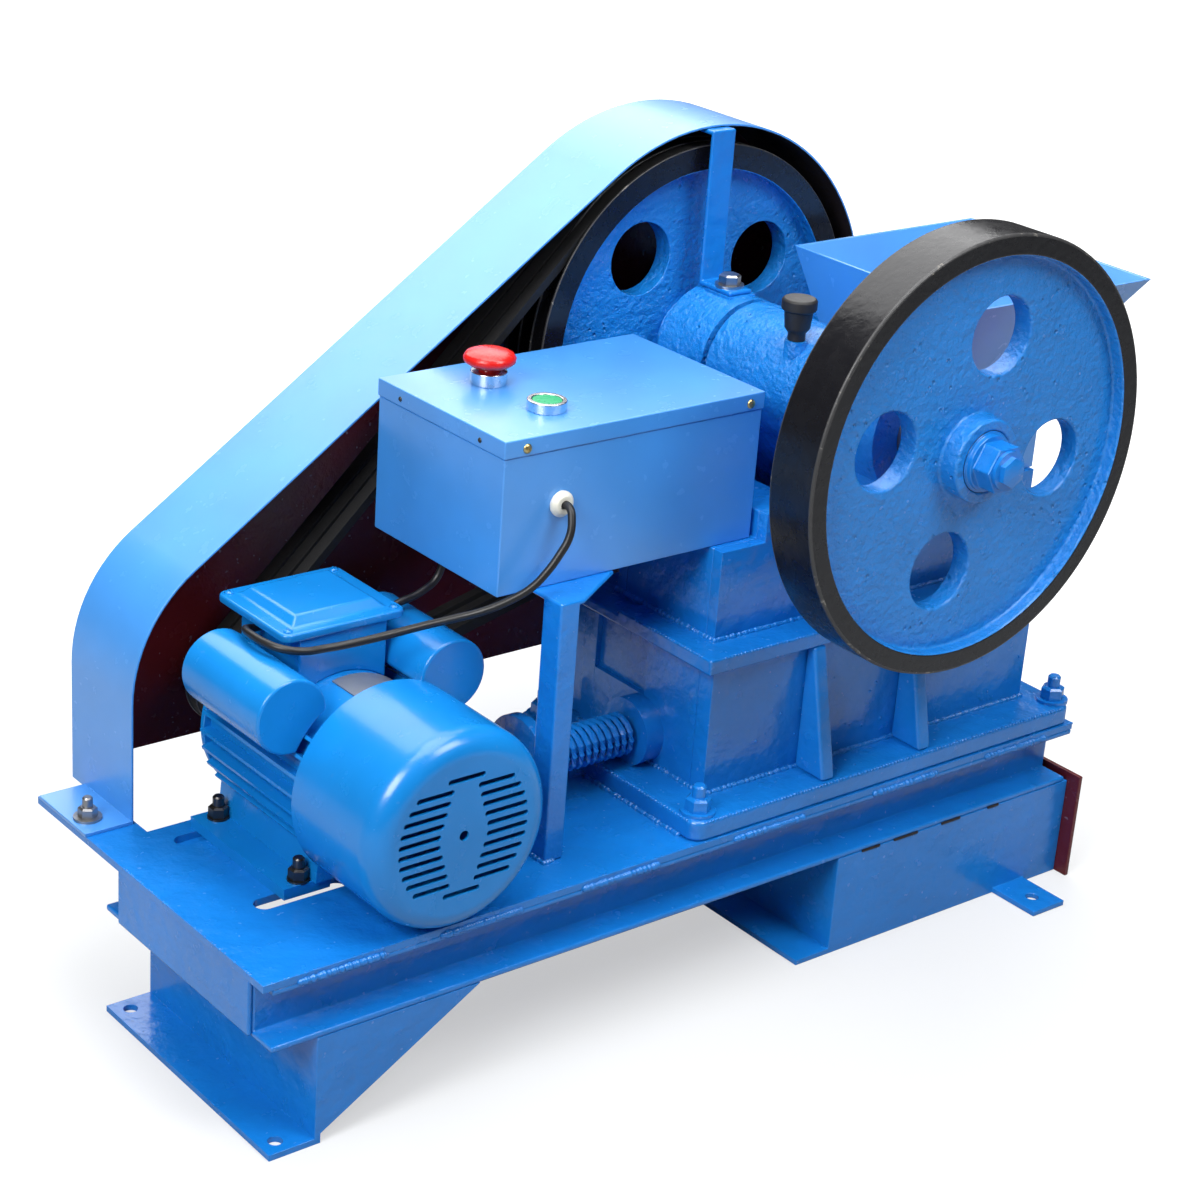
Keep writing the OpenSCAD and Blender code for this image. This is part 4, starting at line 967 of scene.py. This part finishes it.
class CRUSHER_OT_leads(bpy.types.Operator):
    """Lays the two leads between the control box and the motor"""
    bl_idname = "crusher.leads"
    bl_label = "Lay leads"

    def execute(self, context):
        lay_lead("control_lead_flex", CONTROL_ROUTE, "control_lead")
        lay_lead("supply_lead_flex", SUPPLY_ROUTE, "supply_lead")
        return {"FINISHED"}


def add_light(name, place, target, size, power):
    """A square soft light that points at a target."""
    lamp = bpy.data.lights.new(name, "AREA")
    lamp.shape = "SQUARE"
    lamp.size = size
    lamp.energy = power
    light = bpy.data.objects.new(name, lamp)
    light.location = place
    light.rotation_euler = (Vector(target) - Vector(place)).to_track_quat("-Z", "Y").to_euler()
    bpy.context.scene.collection.objects.link(light)


class CRUSHER_OT_stage(bpy.types.Operator):
    """Sets up the floor, the light and the camera"""
    bl_idname = "crusher.stage"
    bl_label = "Set stage"

    def execute(self, context):
        look = context.scene.crusher_stage
        back = Vector((math.sin(look.azimuth) * math.cos(look.elevation),
                       -math.cos(look.azimuth) * math.cos(look.elevation), math.sin(look.elevation)))
        level = Vector((math.cos(look.azimuth), math.sin(look.azimuth), 0))
        right = level * math.cos(look.roll) + back.cross(level) * math.sin(look.roll)
        up = back.cross(right)
        eye = at(-852.8, -1327.8, 1111.3)
        lens = bpy.data.cameras.new("view")
        lens.lens = look.focal
        lens.sensor_width = 36
        camera = bpy.data.objects.new("view", lens)
        turn = Matrix((right, up, back)).transposed().to_4x4()
        camera.matrix_world = Matrix.Translation(eye) @ turn
        context.scene.collection.objects.link(camera)
        context.scene.camera = camera

        reach = 6.0
        mesh = bpy.data.meshes.new("floor")
        mesh.from_pydata([(-reach, -reach, 0), (reach, -reach, 0), (reach, reach, 0), (-reach, reach, 0)], [],
                         [(0, 1, 2, 3)])
        floor = bpy.data.objects.new("floor", mesh)
        context.scene.collection.objects.link(floor)
        made, tree, shader = material("floor_white", Roughness=0.7)
        shader.inputs["Base Color"].default_value = look.floor
        shader.inputs["Specular IOR Level"].default_value = 0.1
        shader.inputs["Emission Color"].default_value = (1, 1, 1, 1)
        seen = tree.nodes.new("ShaderNodeLightPath").outputs["Is Camera Ray"]
        place = tree.nodes.new("ShaderNodeTexCoord").outputs["Object"]
        span = tree.nodes.new("ShaderNodeVectorMath")
        span.operation = "LENGTH"
        tree.links.new(place, span.inputs[0])
        fade = ramp(tree, span.outputs["Value"], 0.35, 1.1)
        far = maths(tree, "ADD", maths(tree, "MULTIPLY", fade, 0.5), 0.52)
        tree.links.new(maths(tree, "MULTIPLY", far, seen), shader.inputs["Emission Strength"])
        mesh.materials.append(made)

        ambient = 0.07
        world = bpy.data.worlds.new("studio")
        world.use_nodes = True
        context.scene.world = world
        tree = world.node_tree
        sky = tree.nodes["Background"]
        path = tree.nodes.new("ShaderNodeLightPath")
        lit = maths(tree, "MULTIPLY", path.outputs["Is Camera Ray"], 1 - ambient)
        tree.links.new(maths(tree, "ADD", lit, ambient), sky.inputs["Strength"])
        sky.inputs["Color"].default_value = (1, 1, 1, 1)
        add_light("key", (-2.5, -0.8, 2.3), (0, 0, 0.3), 1.4, 86)
        add_light("top", (-0.2, -0.2, 2.9), (0, 0, 0.3), 1.8, 56)
        add_light("front", (0.6, -1.9, 2.7), (0, 0, 0.35), 1.2, 52)
        add_light("back", (0.8, 2.1, 3.0), (0, 0, 0.4), 3.6, 118)
        context.scene.view_settings.view_transform = "Standard"
        return {"FINISHED"}


class CRUSHER_PT_panel(bpy.types.Panel):
    """Lists the steps and their settings"""
    bl_label = "Jaw crusher"
    bl_idname = "CRUSHER_PT_panel"
    bl_space_type = "VIEW_3D"
    bl_region_type = "UI"
    bl_category = "Crusher"

    def draw(self, context):
        for step in STEPS:
            self.layout.operator(step.bl_idname)
        for group, kind in SETTINGS:
            for label in kind.__annotations__:
                self.layout.prop(getattr(context.scene, group), label)


STEPS = (CRUSHER_OT_stage, CRUSHER_OT_finishes, CRUSHER_OT_leads, CRUSHER_OT_frame, CRUSHER_OT_wheels,
         CRUSHER_OT_guard, CRUSHER_OT_motor, CRUSHER_OT_controls, CRUSHER_OT_fasteners, CRUSHER_OT_welds)
SETTINGS = (("crusher_paint", CrusherPaint), ("crusher_detail", CrusherDetail),
            ("crusher_stage", CrusherStage))


def register():
    for label, group in SETTINGS:
        bpy.utils.register_class(group)
        setattr(bpy.types.Scene, label, bpy.props.PointerProperty(type=group))
    for step in STEPS:
        bpy.utils.register_class(step)
    bpy.utils.register_class(CRUSHER_PT_panel)


def unregister():
    bpy.utils.unregister_class(CRUSHER_PT_panel)
    for step in reversed(STEPS):
        bpy.utils.unregister_class(step)
    for label, group in reversed(SETTINGS):
        delattr(bpy.types.Scene, label)
        bpy.utils.unregister_class(group)


def main():
    register()
    for step in STEPS:
        family, name = step.bl_idname.split(".")
        getattr(getattr(bpy.ops, family), name)()


if __name__ == "__main__":
    main()
